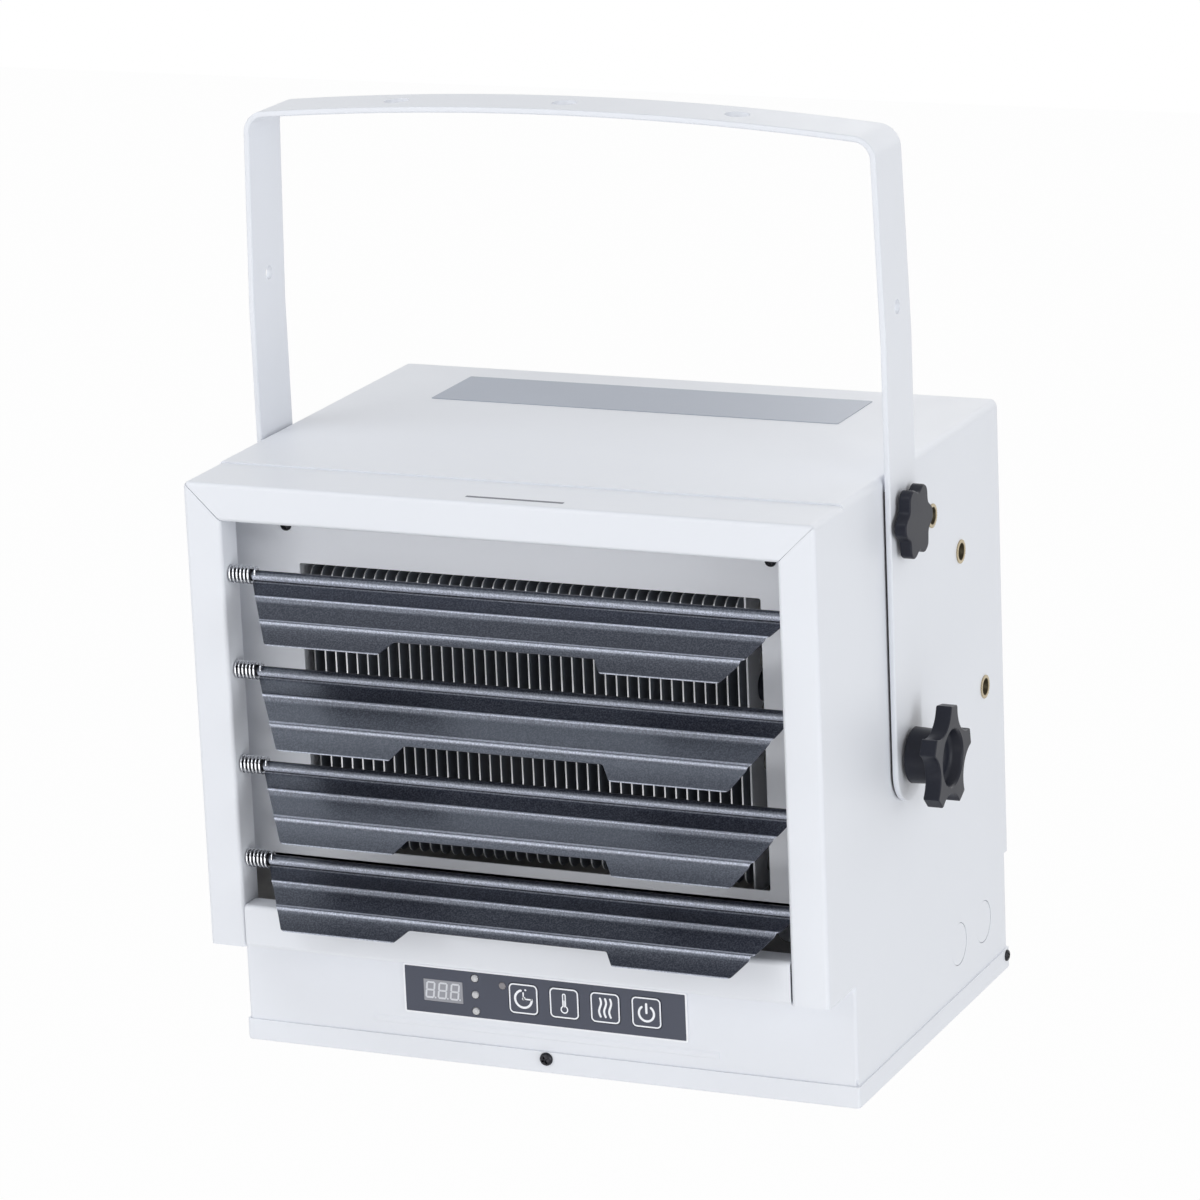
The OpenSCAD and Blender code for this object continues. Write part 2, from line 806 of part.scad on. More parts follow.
module cable_knockouts() {
    color(white_coat) in_housing()
        for (k = [0, 1])
            rod_x([box_x - sheet_t, box_x], box_rear - knockout_y - k * knockout_pitch, knockout_z,
                knockout_d / 2 - 2 * trim_gap);
}

// Rivet nuts on the right: flange outside, body through the panel, threaded bore
module rivet_nut_row() {
    for (p = nut_places())
        difference() {
            union() {
                rod_x([half_w, half_w + nut_flange_t], p[0], p[1], nut_flange_r);
                rod_x([half_w - nut_l, half_w + nut_flange_t / 2], p[0], p[1], nut_r);
            }
            rod_x([half_w - 2 * nut_l, half_w + 2], p[0], p[1], stud_r + running_gap);
        }
}

module rivet_nuts_right() {
    color(zinc) in_housing() rivet_nut_row();
}

module rivet_nuts_left() {
    color(zinc) in_housing() mirror([1, 0, 0]) rivet_nut_row();
}

module label_plate() {
    y = housing_d - label_rear;
    color([0.78, 0.80, 0.83]) in_housing()
        block([label_x - label_size[0] / 2, label_x + label_size[0] / 2],
            [y - label_size[1], y], [cover_top, cover_top + label_t]);
}

// ---------------------------------------------------------------- louvres

// Section of a louvre that hangs upright: the roll at the axis, the leaf and two ribs
module louvre_section() {
    leaf_y = roll_r - louvre_t;
    difference() {
        union() {
            circle(roll_r);
            translate([leaf_y, -louvre_reach]) square([louvre_t, louvre_reach]);
            for (s = rib_places)
                intersection() {
                    translate([leaf_y, -s]) circle(rib_r);
                    translate([leaf_y + louvre_t - 2 * rib_r, -s - rib_r]) square(2 * rib_r);
                }
        }
        circle(rod_r + running_gap);
    }
}

// Front view of a louvre, measured from its axis: tapered ends and the notch below
module louvre_front() {
    step = (louvre_reach - taper_start) * tan(taper_angle);
    slope = notch_d / 2;
    half_notch = notch_w / 2;
    polygon([
        [-louvre_half, roll_r + 1], [louvre_half, roll_r + 1], [louvre_half, -taper_start],
        [louvre_half - step, -louvre_reach], [half_notch, -louvre_reach],
        [half_notch - slope, notch_d - louvre_reach], [slope - half_notch, notch_d - louvre_reach],
        [-half_notch, -louvre_reach], [step - louvre_half, -louvre_reach],
        [-louvre_half, -taper_start],
    ]);
}

module at_louvre(k) {
    translate([0, louvre_y, louvre_first_z - k * louvre_pitch]) children();
}

module louvre(k) {
    color(louvre_coat) in_housing() at_louvre(k) rotate([-louvre_tilts[k], 0, 0])
        translate([louvre_mid, 0, 0]) intersection() {
            along_x([-louvre_half, louvre_half]) louvre_section();
            along_y([-2 * roll_r, 2 * roll_r]) louvre_front();
        }
}

module louvre_rod(k) {
    x = open_x + sheet_t + 2;
    color(bright_metal) in_housing() at_louvre(k) rod_x([-x, x], 0, 0, rod_r);
}

// Coil spring along x, swept from rings of points
module coil_spring(length) {
    sides = 6;
    steps = 12 * spring_turns;
    coil_r = spring_r - spring_wire_r;
    run = length - 2 * spring_wire_r;
    points = [
        for (i = [0 : steps], j = [0 : sides - 1])
            let (
                a = 360 * spring_turns * i / steps,
                b = 360 * j / sides,
                r = coil_r + spring_wire_r * cos(b)
            )
            [spring_wire_r + run * i / steps + spring_wire_r * sin(b), r * cos(a), r * sin(a)]
    ];
    faces = concat(
        [[for (j = [0 : sides - 1]) j]],
        [
            for (i = [0 : steps - 1], j = [0 : sides - 1])
                let (k = (j + 1) % sides)
                [i * sides + j, (i + 1) * sides + j, (i + 1) * sides + k, i * sides + k]
        ],
        [[for (j = [sides - 1 : -1 : 0]) steps * sides + j]]
    );
    polyhedron(points, faces);
}

module louvre_springs() {
    color(bright_metal) in_housing()
        for (k = [0 : louvre_count - 1])
            at_louvre(k) translate([-open_x + trim_gap, 0, 0]) coil_spring(spring_l - seat_gap - trim_gap);
}

// ---------------------------------------------------------------- heating element

function tube_z(k) = tube_first_z + k * tube_pitch;

// Side view of a fin or an end plate with its element holes
module element_holes() {
    for (k = [0 : tube_count - 1])
        translate([tube_y, tube_z(k)]) circle(tube_r + running_gap);
}

module fin_end_plates() {
    y = [fin_y - 2, fin_y + fin_d + 2];
    color(bright_metal) in_housing()
        for (x = [plate_left, plate_right])
            along_x([x - sheet_t / 2, x + sheet_t / 2]) difference() {
                translate([y[0], tray_top])
                    square([y[1] - y[0], fin_lift + fin_h + end_plate_rise]);
                element_holes();
            }
}

module element_fins() {
    color(bright_metal) in_housing()
        for (k = [0 : fin_count - 1])
            translate([fin_left + k * fin_pitch, 0, 0]) along_x([-fin_t / 2, fin_t / 2]) difference() {
                rounded_rect([fin_y, fin_y + fin_d], [fin_z, fin_z + fin_h], fin_r);
                element_holes();
            }
}

// Hairpin elements: pairs of straight passes joined by a half ring on the right
module element_tubes() {
    bend_r = tube_pitch / 2;
    end_x = plate_right + 3;
    color(dark_metal) in_housing()
        for (k = [0 : 2 : tube_count - 2]) {
            rod_x([plate_left - 18, end_x], tube_y, tube_z(k), tube_r);
            rod_x([plate_left - 18, end_x], tube_y, tube_z(k + 1), tube_r);
            translate([end_x, tube_y, tube_z(k) + bend_r]) rotate([90, 0, 0])
                rotate([0, 0, -90]) rotate_extrude(angle = 180) translate([bend_r, 0]) circle(tube_r);
        }
}

// Disc thermostat on the right end plate, between two hairpins
module thermal_cutout() {
    x = plate_right + sheet_t / 2;
    z = tube_z(tube_count - 2) - tube_pitch / 2;
    color(black_plastic) in_housing() {
        rod_x([x, x + 6], tube_y, z, cutout_r);
        for (y = [-4, 4])
            block([x + 5, x + 13], [tube_y + y - 0.4, tube_y + y + 0.4], [z - 3, z + 3]);
    }
}

// ---------------------------------------------------------------- fan

module fan_shroud() {
    y = [fan_y - 10, rear_inner];
    color(white_coat) in_housing() difference() {
        union() {
            rod_y(0, y, fan_z, shroud_r + sheet_t);
            rod_y(0, [y[1] - sheet_t, y[1]], fan_z, shroud_r + flange_w);
        }
        rod_y(0, [y[0] - overlap, y[1] + overlap], fan_z, shroud_r);
    }
}

// Three arms from the shroud carry the motor
module motor_mount() {
    arm_t = 2.5;
    color(dark_metal) in_housing() translate([0, 0, fan_z]) along_y([mount_y, mount_y + arm_t])
        difference() {
            union() {
                circle(motor_r);
                intersection() {
                    circle(shroud_r - running_gap);
                    for (a = [90, 210, 330])
                        rotate(a) translate([0, -mount_arm_w / 2]) square([2 * shroud_r, mount_arm_w]);
                }
            }
            circle(motor_r / 3);
        }
}

module fan_motor() {
    step_l = 5;
    color(dark_metal) in_housing() difference() {
        union() {
            rod_y(0, [motor_front + step_l, mount_y], fan_z, motor_r);
            rod_y(0, [motor_front, motor_front + 2 * step_l], fan_z, motor_r / 2);
        }
        rod_y(0, [motor_front - overlap, motor_front + motor_l / 2 + overlap], fan_z,
            shaft_r + running_gap);
    }
}

module fan_shaft() {
    color(bright_metal) in_housing()
        rod_y(0, [fan_y - 3, motor_front + motor_l / 2], fan_z, shaft_r);
}

module fan_blade() {
    chord = blade_l / sin(blade_pitch);
    color(bright_metal) in_housing() translate([0, blade_y, fan_z]) difference() {
        union() {
            rod_y(0, [-hub_l / 2, hub_l / 2], 0, fan_hub_r);
            intersection() {
                rod_y(0, [-blade_l, blade_l], 0, fan_r);
                for (k = [0 : blade_count - 1])
                    rotate([0, 360 / blade_count * k, 0]) rotate([blade_pitch, 0, 0])
                        translate([fan_hub_r / 2, -blade_t / 2, -chord / 2]) cube([fan_r, blade_t, chord]);
            }
        }
        rod_y(0, [-blade_l, blade_l], 0, shaft_r + running_gap);
    }
}

// Front view of the guard: rings joined by radial wires around a centre plate
module guard_outline() {
    wire = 2 * guard_wire_r;
    plate_r = 13;
    rim_r = shroud_r + 6;
    ring_step = (rim_r - plate_r) / guard_rings;
    circle(plate_r);
    for (k = [1 : guard_rings])
        difference() {
            circle(plate_r + k * ring_step + guard_wire_r);
            circle(plate_r + k * ring_step - guard_wire_r);
        }
    for (a = [45 : 90 : 315])
        rotate(a) translate([plate_r - 1, -guard_wire_r]) square([rim_r - plate_r, wire]);
}

// Guard over the inlet, held off the rear panel by four feet
module fan_guard() {
    far = housing_d + guard_d;
    near = far - 2 * guard_wire_r;
    color(bright_metal) in_housing() translate([0, 0, fan_z]) {
        along_y([near, far]) guard_outline();
        for (a = [45 : 90 : 315])
            rotate([0, -a, 0]) rod_y(shroud_r + 6, [housing_d, near + guard_wire_r], 0, guard_wire_r);
    }
}

// ---------------------------------------------------------------- controls

module keypad_panel() {
    color([0.30, 0.32, 0.37]) in_housing()
        along_y([compartment_y - keypad_t, compartment_y]) difference() {
            rounded_rect([keypad_left, keypad_left + keypad_w],
                [keypad_z - keypad_h / 2, keypad_z + keypad_h / 2], 0.8);
            keypad_cutouts(seat_gap);
        }
}

module display_window() {
    x = keypad_left + window_offset;
    color([0.60, 0.61, 0.62]) in_housing() {
        block([x - window_size[0] / 2, x + window_size[0] / 2], [compartment_y - keypad_t, board_y],
            [keypad_z - window_size[1] / 2, keypad_z + window_size[1] / 2]);
    }
}

module light_pipe(x, z) {
    front = compartment_y - keypad_t;
    rod_y(x, [front, board_y], z, led_r);
    translate([x, front, z]) intersection() {
        sphere(led_r);
        rod_y(0, [-led_r, trim_gap], 0, led_r);
    }
}

module led_lenses() {
    color([0.62, 0.62, 0.62]) in_housing()
        for (k = [-1, 0, 1])
            light_pipe(keypad_left + led_offset, keypad_z + k * led_pitch);
}

module ir_window() {
    color([0.30, 0.16, 0.18]) in_housing()
        light_pipe(keypad_left + ir_place[0], keypad_z + ir_place[1]);
}

// A key: a rounded cap in the panel and a stem that ends just short of its switch
module key(k) {
    front = compartment_y - keypad_t - trim_gap;
    back = compartment_y + sheet_t + 1;
    stem_end = board_y - switch_h - key_travel - trim_gap;
    color([0.32, 0.34, 0.39]) in_housing() {
        along_y([front, back])
            rounded_rect([key_x(k) - key_size[0] / 2, key_x(k) + key_size[0] / 2],
                [key_z - key_size[1] / 2, key_z + key_size[1] / 2], 2.5);
        rod_y(key_x(k), [back - overlap, stem_end], key_z, 2);
    }
}

module control_board() {
    color([0.10, 0.32, 0.16]) in_housing() {
        block([keypad_x - board_size[0] / 2, keypad_x + board_size[0] / 2],
            [board_y, board_y + board_t], [keypad_z - board_size[1] / 2, keypad_z + board_size[1] / 2]);
        for (k = [0 : 3])
            block([key_x(k) - 3, key_x(k) + 3], [board_y - switch_h, board_y + board_t / 2],
                [key_z - 3, key_z + 3]);
    }
}

module board_standoffs() {
    x = board_size[0] / 2 - 3.5;
    z = board_size[1] / 2 - 3.5;
    color(bright_metal) in_housing()
        for (sx = [-1, 1], sz = [-1, 1])
            rod_y(keypad_x + sx * x, [compartment_y + sheet_t, board_y], keypad_z + sz * z, 2.5);
}

module relays() {
    color([0.15, 0.28, 0.55]) in_housing()
        for (k = [-1, 0, 1])
            translate([keypad_x + (2 * k - 0.5) * relay_size[0], board_y + board_t,
                keypad_z - relay_size[2] / 2])
                cube(relay_size);
}

// Supply terminals on the base pan, inside the knockouts
module terminal_block() {
    block_w = terminal_size[0];
    step = terminal_size[1];
    top = sheet_t + terminal_size[2];
    x = box_x - terminal_inset;
    y = box_rear - knockout_y - knockout_pitch - step;
    color([0.88, 0.86, 0.80]) in_housing() difference() {
        block([x, x + block_w], [y, y + 5 * step], [sheet_t, top]);
        for (k = [0 : 4]) {
            block([x - overlap, x + block_w + overlap], [y + (k + 1 / 6) * step, y + (k + 5 / 6) * step],
                [top - step / 3, top + overlap]);
            rod_x([x - overlap, x + block_w + overlap], y + (k + 0.5) * step,
                sheet_t + terminal_size[2] * 4 / 9, step / 4);
        }
    }
}

// ---------------------------------------------------------------- nodes

strap_bracket();
strap_washers();
pivot_knob_left();
pivot_knob_right();
pivot_stud_left();
pivot_stud_right();
lock_knob_left();
lock_knob_right();
lock_stud_left();
lock_stud_right();
left_side_panel();
right_side_panel();
top_rail();
bottom_rail();
top_cover();
duct_floor();
rear_panel();
rear_screws();
front_baffle();
baffle_screws();
element_tray();
control_box();
base_pan();
base_screws();
cable_knockouts();
rivet_nuts_left();
rivet_nuts_right();
label_plate();
louvre(0);  // louvre_1
louvre(1);  // louvre_2
louvre(2);  // louvre_3
louvre(3);  // louvre_4
louvre_rod(0);  // louvre_rod_1
louvre_rod(1);  // louvre_rod_2
louvre_rod(2);  // louvre_rod_3
louvre_rod(3);  // louvre_rod_4
louvre_springs();
fin_end_plates();
element_fins();
element_tubes();
thermal_cutout();
fan_shroud();
motor_mount();
fan_motor();
fan_shaft();
fan_blade();
fan_guard();
keypad_panel();
display_window();
led_lenses();
ir_window();
key(0);  // key_timer
key(1);  // key_temperature
key(2);  // key_heat
key(3);  // key_power
control_board();
board_standoffs();
relays();
terminal_block();
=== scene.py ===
"""Ceiling mounted fan heater: its visible pieces, their finishes and the studio.

Shapes are written in millimetres in the housing's own frame: x = 0 on the centreline, y = 0 at
the bezel's face, z = 0 under the base pan. IN_HOUSING moves them into the part's frame, in metres.
"""
import math

import bmesh
import bpy
from mathutils import Matrix, Vector


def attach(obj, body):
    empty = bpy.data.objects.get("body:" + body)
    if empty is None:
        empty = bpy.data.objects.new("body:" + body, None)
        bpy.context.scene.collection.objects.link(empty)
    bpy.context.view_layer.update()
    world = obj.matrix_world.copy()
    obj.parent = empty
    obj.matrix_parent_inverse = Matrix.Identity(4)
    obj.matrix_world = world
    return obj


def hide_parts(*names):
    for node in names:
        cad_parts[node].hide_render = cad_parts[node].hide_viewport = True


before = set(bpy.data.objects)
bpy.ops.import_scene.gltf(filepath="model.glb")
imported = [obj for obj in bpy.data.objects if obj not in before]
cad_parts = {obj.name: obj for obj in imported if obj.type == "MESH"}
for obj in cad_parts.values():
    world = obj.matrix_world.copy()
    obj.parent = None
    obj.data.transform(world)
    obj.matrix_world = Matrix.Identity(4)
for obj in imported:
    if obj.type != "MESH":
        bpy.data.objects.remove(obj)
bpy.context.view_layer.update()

MM = 0.001
TINY = 1e-6
PIVOT_Y, PIVOT_Z, STRAP_TOP = 105, 158.5, 473
IN_HOUSING = Matrix.Scale(MM, 4) @ Matrix.Translation((0, -PIVOT_Y, -STRAP_TOP))
SIDES = ((1, "right"), (-1, "left"))

# Housing
HALF_W, TOP_Z, DEPTH, SHEET = 165, 300, 250, 1
FLOOR_Z, RAIL_TOP = 62.7, 84.5
STILE_W, RAIL_H, RETURN_D, FOLD_R = 19.5, 19, 16, 2.2
OPEN_X, OPEN_TOP = HALF_W - STILE_W, TOP_Z - RAIL_H
COVER_Y, COVER_TOP = 38, 301
BAFFLE_Y, OUTLET_X, OUTLET_Z = 35.5, 122, (106.5, 252.5)
BOX_X, BOX_Y, BOX_REAR, LIP_Z = 164.6, 35, 248, 11
KNOCKOUT_YS, KNOCKOUT_Z = (BOX_REAR - 34, BOX_REAR - 70), 36

# Louvres
LOUVRE_Y, LOUVRE_Z, LOUVRE_PITCH, LOUVRE_REACH = 8, 253, 48.6, 41
LOUVRE_TILTS = (56.4, 44.2, 47.4, 56.9)
LOUVRE_X = (-132.9, 145.2)
ROLL_R, ROD_R = 2.5, 1.5

# Element and fan
FIN_COUNT, FIN_PITCH, FIN_CENTRE, FIN_T = 40, 5.81, -8.35, 0.72
PLATE_XS = (-127.15, 110.45)
FAN_Z, FAN_Y, BLADE_TIP, GUARD_R = 181.35, 173, 93, 104

# Strap and knobs
ARM_X, STRAP_T, STRAP_W = 166.1, 3, 35
KNOB_X, LOCK_R, STAR_X = 170.6, 117.5, 183
LOCK_ANGLES = (0, 24.5, 48, 90)

# Keypad
KEYPAD_Z, KEYPAD_W, KEYPAD_H, KEYPAD_FACE = 37.2, 153, 25.7, BOX_Y - 0.8
KEYS = ("timer", "temperature", "heat", "power")
KEY, KEY_Z, KEY_PITCH, FIRST_KEY_X = 15.8, 37.8, 22, -11.1
LAMP_X, LAMP_ZS, LENS_R = -37.3, tuple(KEYPAD_Z + 8.6 * k for k in (-1, 0, 1)), 1.9
EYE_X, EYE_Z, DISPLAY_X, INK = -22.4, 43.4, -54.9, 0.06


# ------------------------------------------------------------------ finishes


class Value:
    """An output socket that takes part in sums, differences, products and quotients."""

    def __init__(self, nodes, socket):
        self.nodes, self.socket = nodes, socket

    def _math(self, operation, *terms):
        return self.nodes.add("ShaderNodeMath", {"operation": operation}, dict(enumerate(terms)))

    def __add__(self, other):
        return self._math("ADD", self, other)

    def __sub__(self, other):
        return self._math("SUBTRACT", self, other)

    def __rsub__(self, other):
        return self._math("SUBTRACT", other, self)

    def __mul__(self, other):
        return self._math("MULTIPLY", self, other)

    def __truediv__(self, other):
        return self._math("DIVIDE", self, other)

    def __rtruediv__(self, other):
        return self._math("DIVIDE", other, self)

    def or_larger(self, other):
        return self._math("MAXIMUM", self, other)

    __radd__, __rmul__ = __add__, __mul__


class Nodes:
    """A node tree that nodes and links are added to."""

    def __init__(self, tree):
        self.tree = tree

    def feed(self, socket, value):
        if isinstance(value, Value):
            self.tree.links.new(value.socket, socket)
        elif isinstance(value, tuple) and socket.type == "RGBA":
            socket.default_value = (*value, 1)
        else:
            socket.default_value = value

    def add(self, kind, settings=None, inputs=None, output=0):
        """Adds a node: its settings first, then the values or links of its sockets."""
        node = self.tree.nodes.new(kind)
        for name, value in (settings or {}).items():
            if name == "stops":
                ramp = node.color_ramp
                while len(ramp.elements) < len(value):
                    ramp.elements.new(0.5)
                for stop, (place, level) in zip(ramp.elements, value):
                    stop.position, stop.color = place, (level, level, level, 1)
            else:
                setattr(node, name, value)
        for name, value in (inputs or {}).items():
            self.feed(node.inputs[name], value)
        return Value(self, node.outputs[output])

    def rays(self, *kinds):
        return [self.add("ShaderNodeLightPath", output=f"Is {kind} Ray") for kind in kinds]


class Finish(Nodes):
    """A material with its shader and the nodes that vary it."""

    def __init__(self, name, **constants):
        self.material = bpy.data.materials.new(name)
        self.material.use_nodes = True
        super().__init__(self.material.node_tree)
        self.shader = self.tree.nodes["Principled BSDF"]
        for socket, value in constants.items():
            self.set(socket, value)

    def set(self, socket, value):
        self.feed(self.shader.inputs[socket.replace("_", " ")], value)

    def place(self):
        return self.add("ShaderNodeTexCoord", output="Object")

    def noise(self, scale, detail=2, roughness=0.5, vector=None):
        return self.add("ShaderNodeTexNoise", None, {
            "Vector": vector or self.place(), "Scale": scale, "Detail": detail,
            "Roughness": roughness}, "Fac")

    def stretched(self, x, y, z):
        """Object coordinates scaled along each axis, for brushed and drawn surfaces."""
        return self.add("ShaderNodeVectorMath", {"operation": "MULTIPLY"},
                        {0: self.place(), 1: (x, y, z)})

    def steps(self, value, *stops):
        return self.add("ShaderNodeValToRGB", {"stops": stops}, {0: value})

    def blend(self, share, first, second):
        return self.add("ShaderNodeMix", {"data_type": "RGBA"}, {0: share, 6: first, 7: second},
                        output=2)

    def bump(self, height, depth, strength):
        """Relief of the given depth in metres."""
        self.set("Normal", self.add("ShaderNodeBump", None, {
            "Strength": strength, "Distance": depth, "Height": height}))


def powder_coat(name, colour, shade, roughness=0.42):
    """Fine, slightly uneven powder coat with an orange-peel skin."""
    coat = Finish(name, Coat_Roughness=0.35, Coat_Weight=0.12)
    broad = coat.noise(9, 3)
    fine = coat.noise(520, 3, 0.6)
    coat.set("Base_Color", coat.blend(broad * 0.55 + fine * 0.25, colour, shade))
    coat.set("Roughness", roughness + (coat.noise(60, 2) - 0.5) * 0.1)
    coat.bump(coat.noise(900, 2, 0.55) * 0.6 + coat.noise(260, 2) * 0.4, 0.00007, 0.5)
    return coat.material


def textured_coat():
    """Anthracite coat with metal flakes; where the mesh's bend attribute is high, highlights are
    painted on.
    """
    coat = Finish("anthracite_coat", Specular_IOR_Level=0.5, Specular_Tint=(0.80, 0.88, 1.0))
    # bend holds painted highlight bands along the louvres' rolls, beads and lower edges; it is not
    # a measure of bending
    bend = coat.add("ShaderNodeAttribute", {"attribute_name": "bend"}, output="Fac")
    grain = coat.noise(1250, 2, 0.75)
    flakes = coat.steps(grain * 0.7 + coat.noise(2600, 1) * 0.3, (0.46, 0), (0.58, 1))
    base = coat.blend(coat.noise(14, 3), (0.006, 0.0075, 0.015), (0.010, 0.012, 0.023))
    # Painted highlight: where bend is high the coat is lighter, with more flakes, and it is also
    # more metallic there
    share = flakes * (0.07 + bend * 0.4) + bend * 0.6
    coat.set("Base_Color", coat.blend(share, base, (0.70, 0.74, 0.86)))
    coat.set("Metallic", bend * 0.25)
    coat.set("Roughness", 0.30 + grain * 0.12)
    coat.bump(grain * 0.6 + coat.noise(700, 2) * 0.4, 0.00012, 0.9)
    return coat.material


def metal(name, colour, shade, roughness, drawn=(1, 1, 1), relief=0.00003, metallic=1.0):
    """Bare or plated metal with drawing or rolling marks along one axis."""
    bare = Finish(name, Metallic=metallic)
    marks = bare.noise(700, 3, 0.6, bare.stretched(*drawn))
    stains = bare.noise(60, 3, 0.6)
    bare.set("Base_Color", bare.blend(stains * 0.7 + marks * 0.3, colour, shade))
    bare.set("Roughness", roughness + (marks - 0.5) * roughness * 0.5)
    bare.bump(marks, relief, 0.4)
    return bare.material


def fin_side():
    """Broad face of a fin: dark grey, with painted shade deepest a third of the way up and painted
    light growing towards its top.
    """
    side = Finish("fin_side", Metallic=0.1, Roughness=0.5)
    height = side.add("ShaderNodeSeparateXYZ", inputs={0: side.place()}, output="Z")
    foot, fin_h = -0.372, 0.150
    # Painted light and shade by height: darkest a third of the way up, lighter at the foot,
    # lightest at the top
    painted_light_by_height = side.steps((height - foot) / fin_h, (0, 0.55), (0.35, 0.15), (0.7, 0.35), (1, 1))
    stains = side.noise(40, 3, 0.6, side.stretched(1, 1, 0.3))
    side.set("Base_Color", side.blend(painted_light_by_height * 0.7 + stains * 0.3, (0.075, 0.085, 0.108),
                                      (0.23, 0.25, 0.29)))
    return side.material


def plastic(name, colour, shade, roughness):
    """Moulded plastic with an eroded grain."""
    moulded = Finish(name, Specular_IOR_Level=0.24)
    grain = moulded.noise(1300, 3, 0.6)
    rubbed = moulded.noise(40, 3)
    moulded.set("Base_Color", moulded.blend(grain * 0.5 + rubbed * 0.5, colour, shade))
    moulded.set("Roughness", roughness + (rubbed - 0.5) * 0.12)
    moulded.bump(grain, 0.00006, 0.6)
    return moulded.material


def film(name, colour, shade, roughness=0.35):
    """Printed film: even, with a faint matt texture."""
    printed = Finish(name)
    dots = printed.noise(2600, 1)
    printed.set("Base_Color", printed.blend(printed.noise(30, 2) * 0.6 + dots * 0.4, colour, shade))
    printed.set("Roughness", roughness + dots * 0.1)
    printed.bump(dots, 0.00002, 0.4)
    return printed.material


WHITE = powder_coat("white_coat", (0.805, 0.825, 0.87), (0.77, 0.79, 0.84))
# A lighter copy of the white coat for the baffle, duct floor and fan shroud: painted light that
# lifts the shade inside the duct
DUCT_PAINTED_LIGHTER = powder_coat("duct_coat_painted_lighter", (0.90, 0.92, 0.97), (0.87, 0.89, 0.94), 0.5)
ANTHRACITE = textured_coat()
BLACK_SCREW = metal("black_oxide", (0.022, 0.022, 0.026), (0.05, 0.05, 0.055), 0.32)
CHROME = metal("chrome", (0.86, 0.87, 0.89), (0.74, 0.75, 0.78), 0.1, (0.2, 1, 1), 0.00001)
BRASSY = metal("yellow_zinc", (0.60, 0.50, 0.33), (0.42, 0.36, 0.25), 0.34)
# Dark brassy metal for the nuts' threaded bores: painted shade inside the bores
NUT_BORE_PAINTED_SHADE = metal("nut_bore_painted_shade", (0.040, 0.034, 0.024), (0.10, 0.085, 0.055), 0.4)
BLUE_ZINC = metal("blue_zinc", (0.62, 0.64, 0.68), (0.50, 0.52, 0.56), 0.3)
FIN_SIDE = fin_side()
FIN_EDGE = metal("fin_edge", (1.0, 1.0, 1.0), (0.94, 0.95, 0.97), 0.32, (1, 1, 0.2), metallic=0.35)
PLATE_METAL = metal("end_plate_metal", (0.84, 0.86, 0.90), (0.66, 0.68, 0.72), 0.45, (1, 1, 0.1),
                    metallic=0.1)
SHEATH = metal("heater_sheath", (0.34, 0.34, 0.35), (0.22, 0.21, 0.20), 0.4, (0.1, 1, 1),
               metallic=0.5)
TRAY_METAL = metal("dark_tray", (0.36, 0.35, 0.335), (0.27, 0.26, 0.25), 0.55, (0.1, 1, 1),
                   metallic=0.3)
BLADE_METAL = metal("blade_metal", (0.55, 0.57, 0.60), (0.42, 0.44, 0.47), 0.38)
MOTOR_METAL = powder_coat("motor_paint", (0.030, 0.030, 0.034), (0.050, 0.050, 0.055), 0.45)
BLACK_PLASTIC = plastic("knob_plastic", (0.008, 0.0095, 0.017), (0.017, 0.019, 0.030), 0.40)
# Dark sheet for the strips inside the strap's arms: painted shade along the gap between arms and
# housing
PAINTED_SHADE_STRIP = plastic("painted_shade_strip", (0.020, 0.015, 0.014), (0.034, 0.026, 0.024), 0.7)
PANEL = film("panel_film", (0.036, 0.042, 0.066), (0.056, 0.064, 0.096))
BORDER = film("panel_border", (0.94, 0.95, 0.98), (0.88, 0.89, 0.93), 0.3)
PRINT = film("panel_print", (0.96, 0.97, 1.0), (0.90, 0.92, 0.96), 0.4)
SEGMENTS = film("segments", (0.68, 0.69, 0.73), (0.60, 0.61, 0.65), 0.3)
DISPLAY = film("display_window", (0.35, 0.355, 0.39), (0.27, 0.275, 0.305), 0.18)
LAMP_LENS = film("lamp_lens", (0.66, 0.66, 0.67), (0.50, 0.50, 0.51), 0.12)
IR_LENS = film("infra_red_window", (0.27, 0.255, 0.265), (0.21, 0.20, 0.21), 0.2)
FOIL = film("label_foil", (0.35, 0.39, 0.47), (0.31, 0.35, 0.43), 0.28)
STRIP = film("rail_strip", (0.16, 0.17, 0.20), (0.12, 0.13, 0.155), 0.4)
BOARD = film("circuit_board", (0.012, 0.085, 0.035), (0.02, 0.12, 0.05), 0.3)
RELAY = plastic("relay_case", (0.02, 0.06, 0.28), (0.03, 0.08, 0.34), 0.3)
TERMINAL = plastic("terminal_body", (0.66, 0.63, 0.55), (0.58, 0.55, 0.48), 0.4)


# ------------------------------------------------------------------ points and outlines


def polar(radius, degrees):
    return (radius * math.cos(math.radians(degrees)), radius * math.sin(math.radians(degrees)))


def around(u, v, radius, degrees):
    """The point at an angle on a circle about (u, v)."""
    du, dv = polar(radius, degrees)
    return (u + du, v + dv)


def heading(way):
    return math.degrees(math.atan2(way.y, way.x))


def left_of(a, b):
    """Unit vector to the left of the way from a to b."""
    way = (b - a).normalized()
    return Vector((-way.y, way.x))


def neighbours(points, closed=False):
    """Each point between the one before and the one after it; an open line's ends repeat."""
    last = len(points) - 1
    for i, p in enumerate(points):
        yield (points[i - 1] if closed or i else p, p,
               points[(i + 1) % (last + 1)] if closed or i < last else p)


def circle(u, v, r, n=48):
    return [around(u, v, r, 360 * k / n) for k in range(n)]


def arc(centre, r, a0, a1, n):
    return [Vector(around(*centre, r, a0 + (a1 - a0) * k / n)) for k in range(n + 1)]


